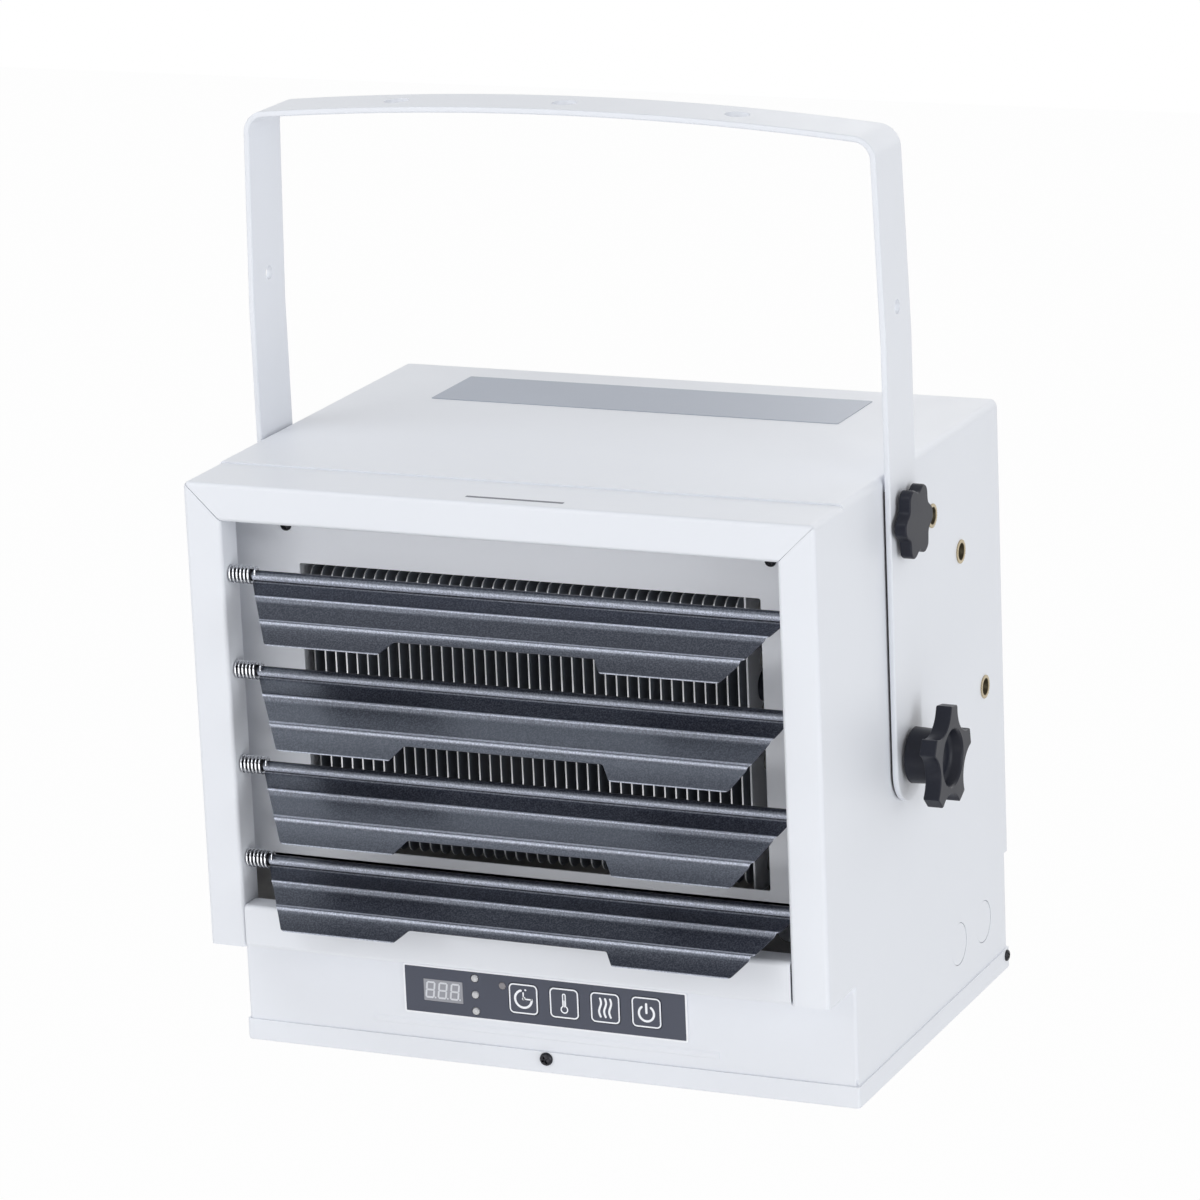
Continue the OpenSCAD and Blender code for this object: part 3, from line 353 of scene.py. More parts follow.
def rounded_path(points, radii, steps=5):
    """A polyline through the points with an arc of the given radius at each inner corner."""
    path = [Vector(points[0])]
    for before, corner, after, r in zip(points, points[1:], points[2:], radii):
        before, corner, after = Vector(before), Vector(corner), Vector(after)
        a, b = (before - corner).normalized(), (after - corner).normalized()
        angle = a.angle(b)
        if r < TINY or angle > math.pi - 1e-4:
            path.append(corner)
            continue
        reach = r / math.tan(angle / 2)
        centre = corner + (a + b).normalized() * (r / math.sin(angle / 2))
        start, end = corner + a * reach - centre, corner + b * reach - centre
        span = start.angle(end)
        for i in range(steps + 1):
            t = i / steps
            path.append(centre + (start * math.sin((1 - t) * span) + end * math.sin(t * span))
                        / math.sin(span))
    return [*path, Vector(points[-1])]


def rounded_loop(points, radii, steps=5):
    """A closed outline with rounded corners."""
    return rounded_path([points[-1], *points, points[0]], radii, steps)[1:-1]


def box_outline(u, v, r=0.0, steps=4):
    corners = [(u[0], v[0]), (u[1], v[0]), (u[1], v[1]), (u[0], v[1])]
    return rounded_loop(corners, [r] * 4, steps) if r else [Vector(c) for c in corners]


def rect(u, v, w, h, r, steps=4):
    """A rounded box about a centre."""
    return box_outline((u - w / 2, u + w / 2), (v - h / 2, v + h / 2), r, steps)


def sheet_outline(path, t):
    """The closed outline of a sheet of thickness t whose one face follows the path."""
    other = []
    for before, p, after in neighbours(path):
        normal = left_of(before, after)
        inner = before is not p and after is not p
        stretch = 1 / max(0.5, normal.dot(left_of(p, after))) if inner else 1
        other.append(p + normal * t * stretch)
    return path + other[::-1]


# ------------------------------------------------------------------ mesh tools


def new_object(name, data):
    obj = bpy.data.objects.new(name, data)
    bpy.context.scene.collection.objects.link(obj)
    return obj


def final_mesh(obj):
    """The mesh that an object ends up with; the object itself is removed."""
    data = bpy.data.meshes.new_from_object(
        obj.evaluated_get(bpy.context.evaluated_depsgraph_get()))
    bpy.data.objects.remove(obj)
    return data


def as_data(mesh):
    """Mesh data, also from a bmesh, which is used up."""
    if not isinstance(mesh, bmesh.types.BMesh):
        return mesh
    data = bpy.data.meshes.new("blank")
    mesh.to_mesh(data)
    mesh.free()
    return data


def joined(*meshes):
    """One new bmesh that holds all the meshes."""
    whole = bmesh.new()
    for mesh in meshes:
        whole.from_mesh(as_data(mesh))
    return whole


def piece(mesh, name, materials, nodes="", sharp=30, body="housing", matrix=IN_HOUSING):
    """Makes a piece that rides on the body and shows the CAD nodes, if it names any."""
    data = as_data(mesh)
    data.name = name
    data.transform(matrix)
    for p in data.polygons:
        p.use_smooth = True
    data.set_sharp_from_angle(angle=math.radians(sharp))
    for m in materials if isinstance(materials, tuple) else (materials,):
        data.materials.append(m)
    obj = new_object(name, data)
    obj.modifiers.new("even_shading", "WEIGHTED_NORMAL").keep_sharp = True
    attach(obj, body)
    replaces = nodes.split()
    if replaces:
        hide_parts(*replaces)


def evaluated(mesh, kind, **settings):
    """The mesh with a modifier applied."""
    obj = new_object("blank", as_data(mesh))
    modifier = obj.modifiers.new(kind, kind)
    for name, value in settings.items():
        setattr(modifier, name, value)
    return final_mesh(obj)


def carve(mesh, *tools, operation="DIFFERENCE"):
    """Cuts the tools out of the mesh, or keeps what both share."""
    cutter = new_object("cutter", as_data(joined(*tools)))
    done = evaluated(mesh, "BOOLEAN", operation=operation, object=cutter, solver="EXACT")
    bpy.data.objects.remove(cutter)
    return done


def moved(mesh, matrix):
    bmesh.ops.transform(mesh, matrix=matrix, verts=mesh.verts)
    return mesh


def shift(x, y, z):
    return Matrix.Translation((x, y, z))


def turn(degrees, axis):
    return Matrix.Rotation(math.radians(degrees), 4, axis)


def mirrored(data):
    """A mirror image across the housing's middle."""
    bm = moved(joined(data), Matrix.Scale(-1, 4, (1, 0, 0)))
    bmesh.ops.reverse_faces(bm, faces=bm.faces)
    return bm


def faced(bm):
    bmesh.ops.recalc_face_normals(bm, faces=bm.faces)
    return bm


def tidy(bm, distance=0.0005):
    bmesh.ops.remove_doubles(bm, verts=bm.verts, dist=distance)
    bmesh.ops.dissolve_degenerate(bm, dist=distance / 2, edges=bm.edges)
    return faced(bm)


def skin(rows, ring=True, caps=False, wrap=False):
    """A surface through rows of points; ring closes each row, wrap joins the last to the first."""
    bm = bmesh.new()
    grid = [[bm.verts.new(p) for p in row] for row in rows]
    for a, b in zip(grid, grid[1:] + grid[:wrap]):
        n = len(a)
        for i in range(n if ring else n - 1):
            j = (i + 1) % n
            bm.faces.new((a[i], a[j], b[j], b[i]))
    if caps:
        bm.faces.new(grid[0][::-1])
        bm.faces.new(grid[-1])
    return bm


ALONG = {"X": lambda u, v, s: (s, u, v), "Y": lambda u, v, s: (u, s, v),
         "Z": lambda u, v, s: (u, v, s)}


def prism(outline, span, axis="X"):
    """A solid along an axis: the outline is in (y, z), (x, z) or (x, y)."""
    return faced(skin([[ALONG[axis](u, v, s) for u, v in outline] for s in span], caps=True))


def lathe(profile, centre, axis="Y", n=48, hollow=False):
    """A turned solid from (distance along the axis, radius) pairs, or a ring if it is hollow."""
    rows = [[[a + b for a, b in zip(centre, ALONG[axis](u, v, s))]
             for u, v in circle(0, 0, max(r, 0.001), n)] for s, r in profile]
    return tidy(skin(rows, caps=not hollow, wrap=hollow), 0.0015)


def plate(outlines, span, axis="Y", edge=0.0, rings=2):
    """A flat plate with eased edges: the first outline is its rim, the others are holes."""
    curve = bpy.data.curves.new("blank", "CURVE")
    curve.dimensions = "2D"
    curve.fill_mode = "BOTH"
    for outline in outlines:
        line = curve.splines.new("POLY")
        line.points.add(len(outline) - 1)
        for point, (u, v) in zip(line.points, outline):
            point.co = (u, v, 0, 1)
        line.use_cyclic_u = True
    low, high = sorted(span)
    curve.extrude = (high - low) / 2 - edge
    curve.bevel_depth, curve.bevel_resolution, curve.offset = edge, rings, -edge
    bm = joined(final_mesh(new_object("blank", curve)))
    bmesh.ops.remove_doubles(bm, verts=bm.verts, dist=0.002)
    bmesh.ops.dissolve_limit(bm, angle_limit=math.radians(0.5), verts=bm.verts, edges=bm.edges)
    middle = (low + high) / 2
    axes = {"Y": ((1, 0, 0, 0), (0, 0, -1, middle), (0, 1, 0, 0), (0, 0, 0, 1)),
            "X": ((0, 0, 1, middle), (1, 0, 0, 0), (0, 1, 0, 0), (0, 0, 0, 1)),
            "Z": ((1, 0, 0, 0), (0, 1, 0, 0), (0, 0, 1, middle), (0, 0, 0, 1))}
    return faced(moved(bm, Matrix(axes[axis])))


def rod(start, end, r, n=16, rounding=0.0):
    """A round rod between two points, its ends rounded over."""
    start, end = Vector(start), Vector(end)
    along, length = (end - start).normalized(), (end - start).length
    side = along.orthogonal().normalized()
    up = along.cross(side)
    stations = [(0, r), (length, r)]
    if rounding:
        half = [(0, r - rounding), (rounding * 0.3, r - rounding * 0.3), (rounding, r)]
        stations = half + [(length - s, q) for s, q in half[::-1]]
    return skin([[start + along * s + side * u + up * v for u, v in circle(0, 0, q, n)]
                 for s, q in stations], caps=True)


def cross_rod(side, span, y, z, r, n):
    """A rod along x on one side of the housing."""
    return rod((side * span[0], y, z), (side * span[1], y, z), r, n)


def tube(points, r, n=10, closed=False):
    """A round wire along the points."""
    rows, side = [], None
    for before, p, after in neighbours([Vector(p) for p in points], closed):
        along = (after - before).normalized()
        side = along.orthogonal() if side is None else side - along * side.dot(along)
        side.normalize()
        up = along.cross(side)
        rows.append([p + side * u + up * v for u, v in circle(0, 0, r, n)])
    if not closed:
        return skin(rows, caps=True)
    # The first row starts again where it lies nearest to the last one's start
    twist = min(range(n), key=lambda t: (rows[-1][0] - rows[0][t]).length)
    rows.append(rows[0][twist:] + rows[0][:twist])
    return tidy(skin(rows))


def ease(node, slot, material, width, body="housing"):
    """Shows a CAD node through a copy whose edges are eased by the width, in millimetres."""
    bm = joined(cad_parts[node].data)
    bmesh.ops.remove_doubles(bm, verts=bm.verts, dist=2e-6)
    bmesh.ops.dissolve_limit(bm, angle_limit=math.radians(1), verts=bm.verts, edges=bm.edges)
    edges = [e for e in bm.edges if len(e.link_faces) == 2
             and e.calc_face_angle() > math.radians(30)]
    bmesh.ops.bevel(bm, geom=edges, offset=width * MM, segments=2, profile=0.5,
                    affect="EDGES", clamp_overlap=True)
    piece(bm, node + "_eased", material, node, 40, body, Matrix.Identity(4))


# ------------------------------------------------------------------ sheet housing


def nut_places():
    yield PIVOT_Y, PIVOT_Z
    for a in LOCK_ANGLES:
        yield around(PIVOT_Y, PIVOT_Z, LOCK_R, 90 - a)


def housing_wrap():
    """Side walls, cover, stiles and top rail: folded at the front rim and over the top edges."""
    bend = 3.2
    bend_x, bend_z = HALF_W - bend, TOP_Z - bend
    # Outer x and z, the cover's lift there, and x and z on the opening's rim
    columns = [(HALF_W, z, 0, OPEN_X, z)
               for z in (FLOOR_Z, 75, 100, 150, 200, 250, OPEN_TOP - FOLD_R, OPEN_TOP)]
    columns.append((HALF_W, bend_z - 4, 0, OPEN_X, OPEN_TOP))
    for k in range(9):
        lift = (1 - polar(1, 22.5 * k)[0]) / 2
        columns.append((*around(bend_x, bend_z, bend, 11.25 * k), lift, OPEN_X, OPEN_TOP))
    columns += [(x, TOP_Z, 1, OPEN_X, OPEN_TOP) for x in (bend_x - 4, OPEN_X)]
    columns += [(x, TOP_Z, 1, x, OPEN_TOP) for x in (OPEN_X - FOLD_R, 100, 50, 0)]
    columns += [(-x, z, lift, -ix, iz) for x, z, lift, ix, iz in columns[-2::-1]]

    def outward(x, z):
        """Unit normal of the outer outline in the front view."""
        if abs(x) >= HALF_W - TINY:
            return Vector((math.copysign(1, x), 0))
        if z >= TOP_Z - TINY:
            return Vector((0, 1))
        return (Vector((x, z)) - Vector((math.copysign(bend_x, x), bend_z))).normalized()

    levels = [(y, 1) for y in (DEPTH, 240, 200, 150, 100, 60, COVER_Y + 1)]
    levels += [(COVER_Y + 0.3, 0.97), (COVER_Y + 0.1, 0.88), (COVER_Y, 0.7), (COVER_Y, 0),
               (COVER_Y - 0.4, 0), (20, 0), (FOLD_R, 0)]
    rows = [[(x, y, z + (COVER_TOP - TOP_Z) * share * lift) for x, z, lift, *_ in columns]
            for y, share in levels]
    folds = [[FOLD_R - f for f in polar(FOLD_R, 15 * k)] for k in range(7)]
    for inset, back in folds[1:]:
        row = []
        for x, z, *_ in columns:
            n = outward(x, z) * inset
            row.append((x - n.x, back, z - n.y))
        rows.append(row)
    for back, inset in folds:
        rows.append([(ix + (math.copysign(inset, x) if abs(ix) >= OPEN_X - TINY else 0), back,
                      iz + (inset if iz >= OPEN_TOP - TINY else 0)) for x, _, _, ix, iz in columns])
    rows.append([(ix, RETURN_D, iz) for *_, ix, iz in columns])
    bm = tidy(skin(rows, ring=False))
    if max(bm.faces, key=lambda f: f.calc_center_median().x).normal.x < 0:
        bmesh.ops.reverse_faces(bm, faces=bm.faces)
    shell = evaluated(bm, "SOLIDIFY", thickness=SHEET, offset=-1, use_even_offset=True,
                      use_rim=True)
    # Mitre seams: a thin saw cut from the inner corner almost to the outer one
    for side, half in ((1, 0.1), (-1, 0.24)):
        inner = Vector((side * (OPEN_X - 0.6), OPEN_TOP - 0.6))
        outer = Vector((side * (HALF_W - 1.2), TOP_Z - 1.2))
        across = left_of(inner, outer) * half
        shell = carve(shell, prism([inner - across, outer - across * 0.7, outer + across * 0.7,
                                    inner + across], (-1, 6), "Y"))
    shell = carve(shell, *[cross_rod(side, (HALF_W - 4, HALF_W + 2), y, z, 5.4, 24)
                           for side, _ in SIDES for y, z in nut_places()])
    piece(shell, "housing_wrap", WHITE,
          "left_side_panel right_side_panel top_rail top_cover", 28)


def bottom_rail():
    path = rounded_path([(12.5, RAIL_TOP), (0, RAIL_TOP), (0, FLOOR_Z), (RETURN_D, FLOOR_Z)],
                        (2.6, 2.6), 7)
    x = OPEN_X - 0.35
    piece(prism(sheet_outline(path, SHEET), (-x, x)), "bottom_rail_folded", WHITE,
          "bottom_rail", 28)


def baffle():
    """Front plate of the duct with its outlet, and the fold along its lower edge."""
    low, x = 98, HALF_W - SHEET - 0.1
    front = plate([box_outline((-x, x), (low + 0.8, TOP_Z - SHEET - 0.1)),
                   box_outline((-OUTLET_X, OUTLET_X), OUTLET_Z, 1)],
                  (BAFFLE_Y, BAFFLE_Y + SHEET), "Y", 0.18)
    fold = rounded_path([(BAFFLE_Y, low + 3), (BAFFLE_Y, low), (41.4, low)], (1.6,), 6)
    piece(joined(front, prism(sheet_outline(fold, SHEET), (-x, x))), "outlet_baffle",
          DUCT_PAINTED_LIGHTER, "front_baffle")


def pan_head(centre, facing, r=3.4, h=2.2):
    """Domed screw head with a cross recess; facing is the direction it looks."""
    dome = ((0, 1), (0.25, 1), (0.55, 0.93), (0.8, 0.76), (0.95, 0.5), (1, 0.22), (1, 0))
    head = lathe([(h * up, r * out) for up, out in dome], (0, 0, 0), "Z", 32)
    arm, w = r * 0.62, r * 0.14
    cross = [(turn(90 * k, "Z") @ Vector((*corner, 0))).xy
             for k in range(4) for corner in ((arm, -w), (arm, w), (w, w))]
    head = carve(head, prism(cross, (h * 0.35, h + 1), "Z"))
    aim = Vector((0, 0, 1)).rotation_difference(Vector(facing)).to_matrix().to_4x4()
    return moved(joined(head), shift(*centre) @ aim @ turn(28, "Z"))


def screws():
    low, front, rear = 7.7, (0, -1, 0), (0, 1, 0)
    heads = {
        "rear": [pan_head((x, DEPTH, z), rear) for x in (-156, 156) for z in (71.7, 292)],
        "baffle": [pan_head((x, BAFFLE_Y, 271.5), front, 2.9) for x in (-128, 128)],
        "base": [pan_head((0, BOX_Y - 1, low), front), pan_head((0, BOX_REAR + 1, low), rear)]
                + [pan_head((side * (BOX_X + 1), 244.5, low), (side, 0, 0), 3, 1.4)
                   for side, _ in SIDES]}
    for place, parts in heads.items():
        piece(joined(*parts), f"{place}_screw_heads", BLACK_SCREW,
              f"{place}_screws", 32)


def rivet_nuts():
    """Flanged nuts with a toothed rim; their threaded bores are painted dark as shade."""
    teeth, length, turns = 28, 12, 20
    for side, label in SIDES:
        flanges, bores = [], []
        for y, z in nut_places():
            rim = [around(y, z, 5.7 if k % 4 > 1 else 6, 90 * k / teeth) for k in range(4 * teeth)]
            flanges.append(plate([rim, circle(y, z, 4.4)], (side * HALF_W, side * (HALF_W + 0.7)),
                                 "X", 0.15, 1))
            thread = [(side * (HALF_W + 0.4 - length * i / turns / 2), 4.25 if i % 2 else 4.55)
                      for i in range(2 * turns + 1)]
            sleeve = [(side * (HALF_W - length), 5.3), (side * (HALF_W + 0.3), 5.3)]
            bores.append(lathe(thread + sleeve, (0, y, z), "X", 32, hollow=True))
        nuts = f"rivet_nuts_{label}"
        piece(joined(*flanges), nuts + "_toothed", BRASSY, nuts)
        piece(joined(*bores), nuts + "_bores", NUT_BORE_PAINTED_SHADE)


# ------------------------------------------------------------------ lower compartment


def key_x(k):
    return FIRST_KEY_X + KEY_PITCH * k


def keypad_holes(gap):
    for k in range(len(KEYS)):
        yield rect(key_x(k), KEY_Z, KEY + 2 * gap, KEY + 2 * gap, 2.5 + gap)
    yield rect(DISPLAY_X, KEYPAD_Z, 21.6, 11.6, 0.4)
    for z in LAMP_ZS:
        yield circle(LAMP_X, z, 2.2, 32)
    yield circle(EYE_X, EYE_Z, 2, 32)


def compartment():
    """Front, sides and rear of the lower box, with a pressed step under the keypad."""
    z, seam_x = (1, FLOOR_Z - 0.05), BOX_X - 13
    path = rounded_path([(seam_x + 1, BOX_REAR), (BOX_X, BOX_REAR), (BOX_X, BOX_Y),
                         (-BOX_X, BOX_Y), (-BOX_X, BOX_REAR), (-seam_x - 1, BOX_REAR)],
                        (1.8,) * 4, 6)
    cuts = [prism(o, (BOX_Y - 3, BOX_Y + 3), "Y") for o in keypad_holes(0.35)]
    cuts += [cross_rod(1, (BOX_X - 3, BOX_X + 2), y, KNOCKOUT_Z, 11, 40) for y in KNOCKOUT_YS]
    # Corner reliefs just above the pan's lip
    cuts += [prism(rect(side * (BOX_X - 0.6), LIP_Z + 1.7, 1.3, 3.4, 0.6, 5),
                   (BOX_Y - 2, BOX_Y + 1.2), "Y") for side, _ in SIDES]
    walls = carve(prism(sheet_outline(path, -SHEET), z, "Z"), *cuts)
    rear = prism(box_outline((-seam_x, seam_x), (BOX_REAR - 1, BOX_REAR)), z, "Z")
    face, low, high = BOX_Y - 0.45, 17.2, 21.2
    step = rounded_path([(BOX_Y, high), (face, high - 1), (face, low + 1), (BOX_Y, low)],
                        (0.5, 0.5), 4)
    ridge = prism([*step, (BOX_Y + 0.2, low), (BOX_Y + 0.2, high)], (-94, 92.5))
    piece(joined(walls, rear, ridge), "compartment_walls", WHITE, "control_box", 28)


def base_pan():
    """Shallow pan with a folded lip, its front corners relieved."""
    x, y0 = BOX_X + SHEET, BOX_Y - SHEET
    outer = box_outline((-x, x), (y0, BOX_REAR + SHEET), 1.6, 5)
    inner = box_outline((-BOX_X, BOX_X), (BOX_Y, BOX_REAR), 0.6, 5)

    def ring(points, z, inset, side_inset):
        return [(u - math.copysign(side_inset, u), v + (inset if v < 140 else -inset), z)
                for u, v in points]

    rows = [ring(outer, z, inset, inset)
            for z, inset in ((0, 1.2), (0.2, 0.5), (0.5, 0.2), (1.2, 0), (6, 0), (LIP_Z, 0),
                             (LIP_Z + 0.2, 0.08), (LIP_Z + 0.3, 0.3))]
    rows += [ring(inner, *level)
             for level in ((LIP_Z + 0.3, -0.1, -0.5), (LIP_Z + 0.1, -0.02, -0.4),
                           (LIP_Z - 0.2, 0.02, -0.3), (1.0, 0.02, 0.02))]
    notches = [rod((side * (x - 0.4), y0 + 0.4, 1.6), (side * (x + 1.4), y0 - 1.4, 1.6), 1.0)
               for side, _ in SIDES]
    piece(carve(faced(skin(rows, caps=True)), *notches), "base_pan_folded", WHITE,
          "base_pan", 28)


def knockouts():
    """Punched discs still held in the side wall."""
    discs = [plate([circle(y, KNOCKOUT_Z, 10.72, 64)], (BOX_X - 1.05, BOX_X - 0.12), "X", 0.2)
             for y in KNOCKOUT_YS]
    piece(joined(*discs), "knockout_discs", WHITE, "cable_knockouts")


def ribbon(points, width, closed=False):
    """A flat printed line in the (x, z) plane, standing forward by the ink's depth."""
    points = [Vector(p) for p in points]
    edges = [(p, left_of(a, b) * width / 2) for a, p, b in neighbours(points, closed)]
    left, right = [p + n for p, n in edges], [p - n for p, n in edges]
    if closed:
        return faced(skin([[(p.x, y, p.y) for p in line] for line, y in (
            (left, 0), (left, -INK), (right, -INK), (right, 0))], wrap=True))

    def cap(inner, end):
        start = heading(end - inner) + 90
        return arc(end, width / 2, start, start - 180, 6)[1:-1]

    outline = left + cap(*points[-2:]) + right[::-1] + cap(*points[1::-1])
    return prism(outline, (-INK, 0), "Y")


def icon(k, x, z):
    """The mark printed on a key: clock, thermometer, heat waves or power."""
    if k == 0:
        return [ribbon(arc((x, z), 4.5, 106, 360, 28), 1.15),
                ribbon([(x, z + 3.2), (x, z), (x + 4.5, z)], 0.8),
                ribbon([(x - 0.05, z + 0.15), (x + 0.4, z + 0.45)], 1.5),
                ribbon([(x + 1.25, z + 4.8), (x + 1.35, z + 4.75)], 0.95)]
    if k == 1:
        bulb, half, top = 1.75, 0.7, z + 4.2
        open_at = math.degrees(math.asin(half / bulb))
        loop = [*arc((x, z - 3.2), bulb, 90 + open_at, 450 - open_at, 24),
                *arc((x, top), half, 0, 180, 8)]
        return [ribbon(loop, 0.62, True), ribbon([(x, z - 1.8), (x, z + 1.4)], 0.45)]
    if k == 2:
        return [ribbon([(x + dx + 0.6 * math.sin(math.pi * t / 9 + 0.2), z + 4.7 - 9.4 * t / 18)
                        for t in range(19)], 1.05) for dx in (-2.7, 0, 2.7)]
    return [ribbon(arc((x, z - 0.5), 4.0, 128, 412, 28), 1.15),
            ribbon([(x, z + 4.4), (x, z - 0.2)], 1.15)]


def keypad():
    """Film with its raised border and the four keys with their printed marks."""
    rim = 0.95
    inner = rect(0, KEYPAD_Z, KEYPAD_W - 2 * rim, KEYPAD_H - 2 * rim, 0.5)
    sheet = plate([inner, *keypad_holes(0.3)], (KEYPAD_FACE, BOX_Y), "Y", 0.08, 1)
    piece(sheet, "keypad_film", PANEL, "keypad_panel")
    border = plate([rect(0, KEYPAD_Z, KEYPAD_W, KEYPAD_H, 1.2), inner],
                   (KEYPAD_FACE - 0.12, BOX_Y), "Y", 0.2)
    piece(border, "keypad_border", BORDER)
    key_face = KEYPAD_FACE - 0.1
    for k, name in enumerate(KEYS):
        x, key = key_x(k), f"key_{name}"
        cap = plate([rect(x, KEY_Z, KEY, KEY, 2.5, 6)], (key_face, BOX_Y + 2), "Y", 0.25)
        stem = rod((x, BOX_Y + 1.8, KEY_Z), (x, BOX_Y + 6.4, KEY_Z), 2, 24)
        piece(joined(cap, stem), key + "_cap", PANEL, key, 30, key + "_body")
        marks = [ribbon(rect(x, KEY_Z, KEY - 1.1, KEY - 1, 2.1, 6), 0.72, True),
                 *icon(k, x, KEY_Z)]
        piece(moved(joined(*marks), shift(0, key_face, 0)), key + "_print", PRINT,
              "", 30, key + "_body")


def display():
    """Window with three unlit digits and their points."""
    face = KEYPAD_FACE + 0.05
    piece(plate([rect(DISPLAY_X, KEYPAD_Z, 21.4, 11.4, 0.35)], (face, BOX_Y + 9), "Y", 0.12),
          "display_glass", DISPLAY, "display_window")
    w, h, gap, end, lean = 2.05, 3.95, 0.25, 0.3, math.tan(math.radians(7))
    strokes = [((gap + end - w, v), (w - gap - end, v), 0.95) for v in (-h, 0, h)]
    strokes += [((u, v + end), (u, v + h - 2 * gap - end), 0.95)
                for u in (-w, w) for v in (gap, gap - h)]
    strokes.append(((w + 1.05, -h), (w + 1.1, 0.05 - h), 0.9))
    bars = [ribbon([(DISPLAY_X - 0.3 + 6.7 * digit + u + v * lean, KEYPAD_Z + 0.2 + v)
                    for u, v in ends], width) for digit in (-1, 0, 1) for *ends, width in strokes]
    piece(moved(joined(*bars), shift(0, face, 0)), "display_digits", SEGMENTS)


def lamps():
    foot = 9
    dome = [(foot, 0), (foot, LENS_R), (0.6, LENS_R)]
    dome += [(-1.15 * v, LENS_R * u) for u, v in arc((0, 0), 1, 0, 90, 9)]
    domes = [lathe(dome, (LAMP_X, KEYPAD_FACE, z), "Y", 32) for z in LAMP_ZS]
    piece(joined(*domes), "lamp_domes", LAMP_LENS, "led_lenses", 50)
    eye = lathe([(foot, 0), (foot, LENS_R), (0.1, LENS_R), (-0.1, 1.75), (-0.14, 0)],
                (EYE_X, KEYPAD_FACE, EYE_Z), "Y", 32)
    piece(eye, "infra_red_eye", IR_LENS, "ir_window", 40)


# ------------------------------------------------------------------ louvres


def louvre_outline():
    """Section of a louvre that hangs from its axis: the curl round the rod, the leaf, two beads.

    The leaf is faintly hollow between its beads and a little crowned, as pressing leaves it.
    """
    mid, half_t = ROLL_R - 0.25, 0.25
    beads, halves, heights, hollow = (12.8, 27.6), (1.9, 2.4), (0.85, 1.05), 0.22
    crown = (0, 0.6, -0.05, -0.2)

    def rise(s):
        """How far the leaf stands forward at a distance below the axis."""
        ends = (1.2, *beads, LOUVRE_REACH)
        for a, b, low, high in zip(ends, ends[1:], crown, crown[1:]):
            if a <= s <= b:
                t = (s - a) / (b - a)
                sag = low + (high - low) * t - 4 * hollow * t * (1 - t)
        for bead, half, height in zip(beads, halves, heights):
            if abs(s - bead) < half:
                swell = 0.5 + 0.5 * math.cos(math.pi * (s - bead) / half)
                sag += (height + hollow * 0.6) * swell
        return sag

    path = arc((0, 0), mid, 296, 8, 24) + [Vector((mid, -0.7))]
    start, steps = 1.3, 132
    for k in range(steps + 1):
        s = start + (LOUVRE_REACH - start) * k / steps
        path.append(Vector((mid - rise(s), -s)))
    half_way = len(path)
    return (sheet_outline(path, half_t)[half_way:][::-1]
            + sheet_outline(path, -half_t)[half_way:])


def louvre_front():
    """Front view of a louvre: tapered ends, rounded lower corners and the notch."""
    half = (LOUVRE_X[1] - LOUVRE_X[0]) / 2
    step = (LOUVRE_REACH - 3.4) * math.tan(math.radians(28.8))
    low, notch = -LOUVRE_REACH, 57.7
    right = [(half, 4), (half, -3.4), (half - step, low), (notch, low), (notch - 5.5, low + 8.5)]
    radii = [0, 1.5, 3, 2, 2]
    return rounded_loop(right + [(-x, z) for x, z in right[::-1]], radii + radii[::-1])


# Painted highlight strength by the distance below the axis: bands on the roll, beside the curl, on
# the two beads and along the lower edge
ROLL_HIGHLIGHTS = ((-3, 0), (0.3, 0), (0.9, 0.10), (1.6, 0.16), (1.9, 0.8), (2.6, 0.9))
LEAF_HIGHLIGHTS = ((1.2, 0.05), (2.4, 0.15), (2.6, 0.5), (2.9, 0.4), (3.2, 0), (11.6, 0), (11.8, 1),
              (13.0, 1), (13.3, 0.25), (14.6, 0.2), (15.4, 0.06), (16.0, 0), (25.4, 0),
              (25.6, 1), (26.7, 1), (27.0, 0.2), (27.7, 0.2), (28.0, 0.85), (28.6, 0.7),
              (29.1, 0.15), (29.8, 0.05), (36, 0), (40.4, 0), (40.8, 0.8), (41.2, 1))


def painted_highlight_at(s, y):
    stops = ROLL_HIGHLIGHTS if s < 2.6 and y < 1.2 else LEAF_HIGHLIGHTS
    for (a, low), (b, high) in zip(stops, stops[1:]):
        if a <= s <= b:
            return low + (high - low) * (s - a) / (b - a)
    return 0


def louvres():
    """Blades cut from one pressed blank, each with its rod and a sleeve at the left."""
    blank = carve(prism(louvre_outline(), (-150, 150)), prism(louvre_front(), (-9, 9), "Y"),
                  operation="INTERSECT")
    # The bend attribute carries the painted highlight bands from the tables above
    bend = blank.attributes.new("bend", "FLOAT", "POINT")
    for v, value in zip(blank.vertices, bend.data):
        value.value = painted_highlight_at(-v.co.z, v.co.y)
    sleeve = ((-OPEN_X + 1.3, 0), (-OPEN_X + 1.3, 2.6), (-OPEN_X + 1.6, 2.9),
              (LOUVRE_X[0] - 0.5, 2.9), (LOUVRE_X[0] - 0.2, 2.6), (LOUVRE_X[0] - 0.2, 0))
    x = OPEN_X + 3
    for k, tilt in enumerate(LOUVRE_TILTS, 1):
        z = LOUVRE_Z - LOUVRE_PITCH * (k - 1)
        blade = moved(joined(blank), shift(sum(LOUVRE_X) / 2, LOUVRE_Y, z) @ turn(-tilt, "X"))
        body = f"louvre_{k}_body"
        piece(blade, f"louvre_{k}_blade", ANTHRACITE, f"louvre_{k}", 35, body)
        pin = rod((-x, LOUVRE_Y, z), (x, LOUVRE_Y, z), ROD_R, 20, 0.4)
        piece(joined(pin, lathe(sleeve, (0, LOUVRE_Y, z), "X", 32)), f"louvre_rod_{k}_pin",
              BLACK_SCREW, f"louvre_rod_{k}", 40, body)


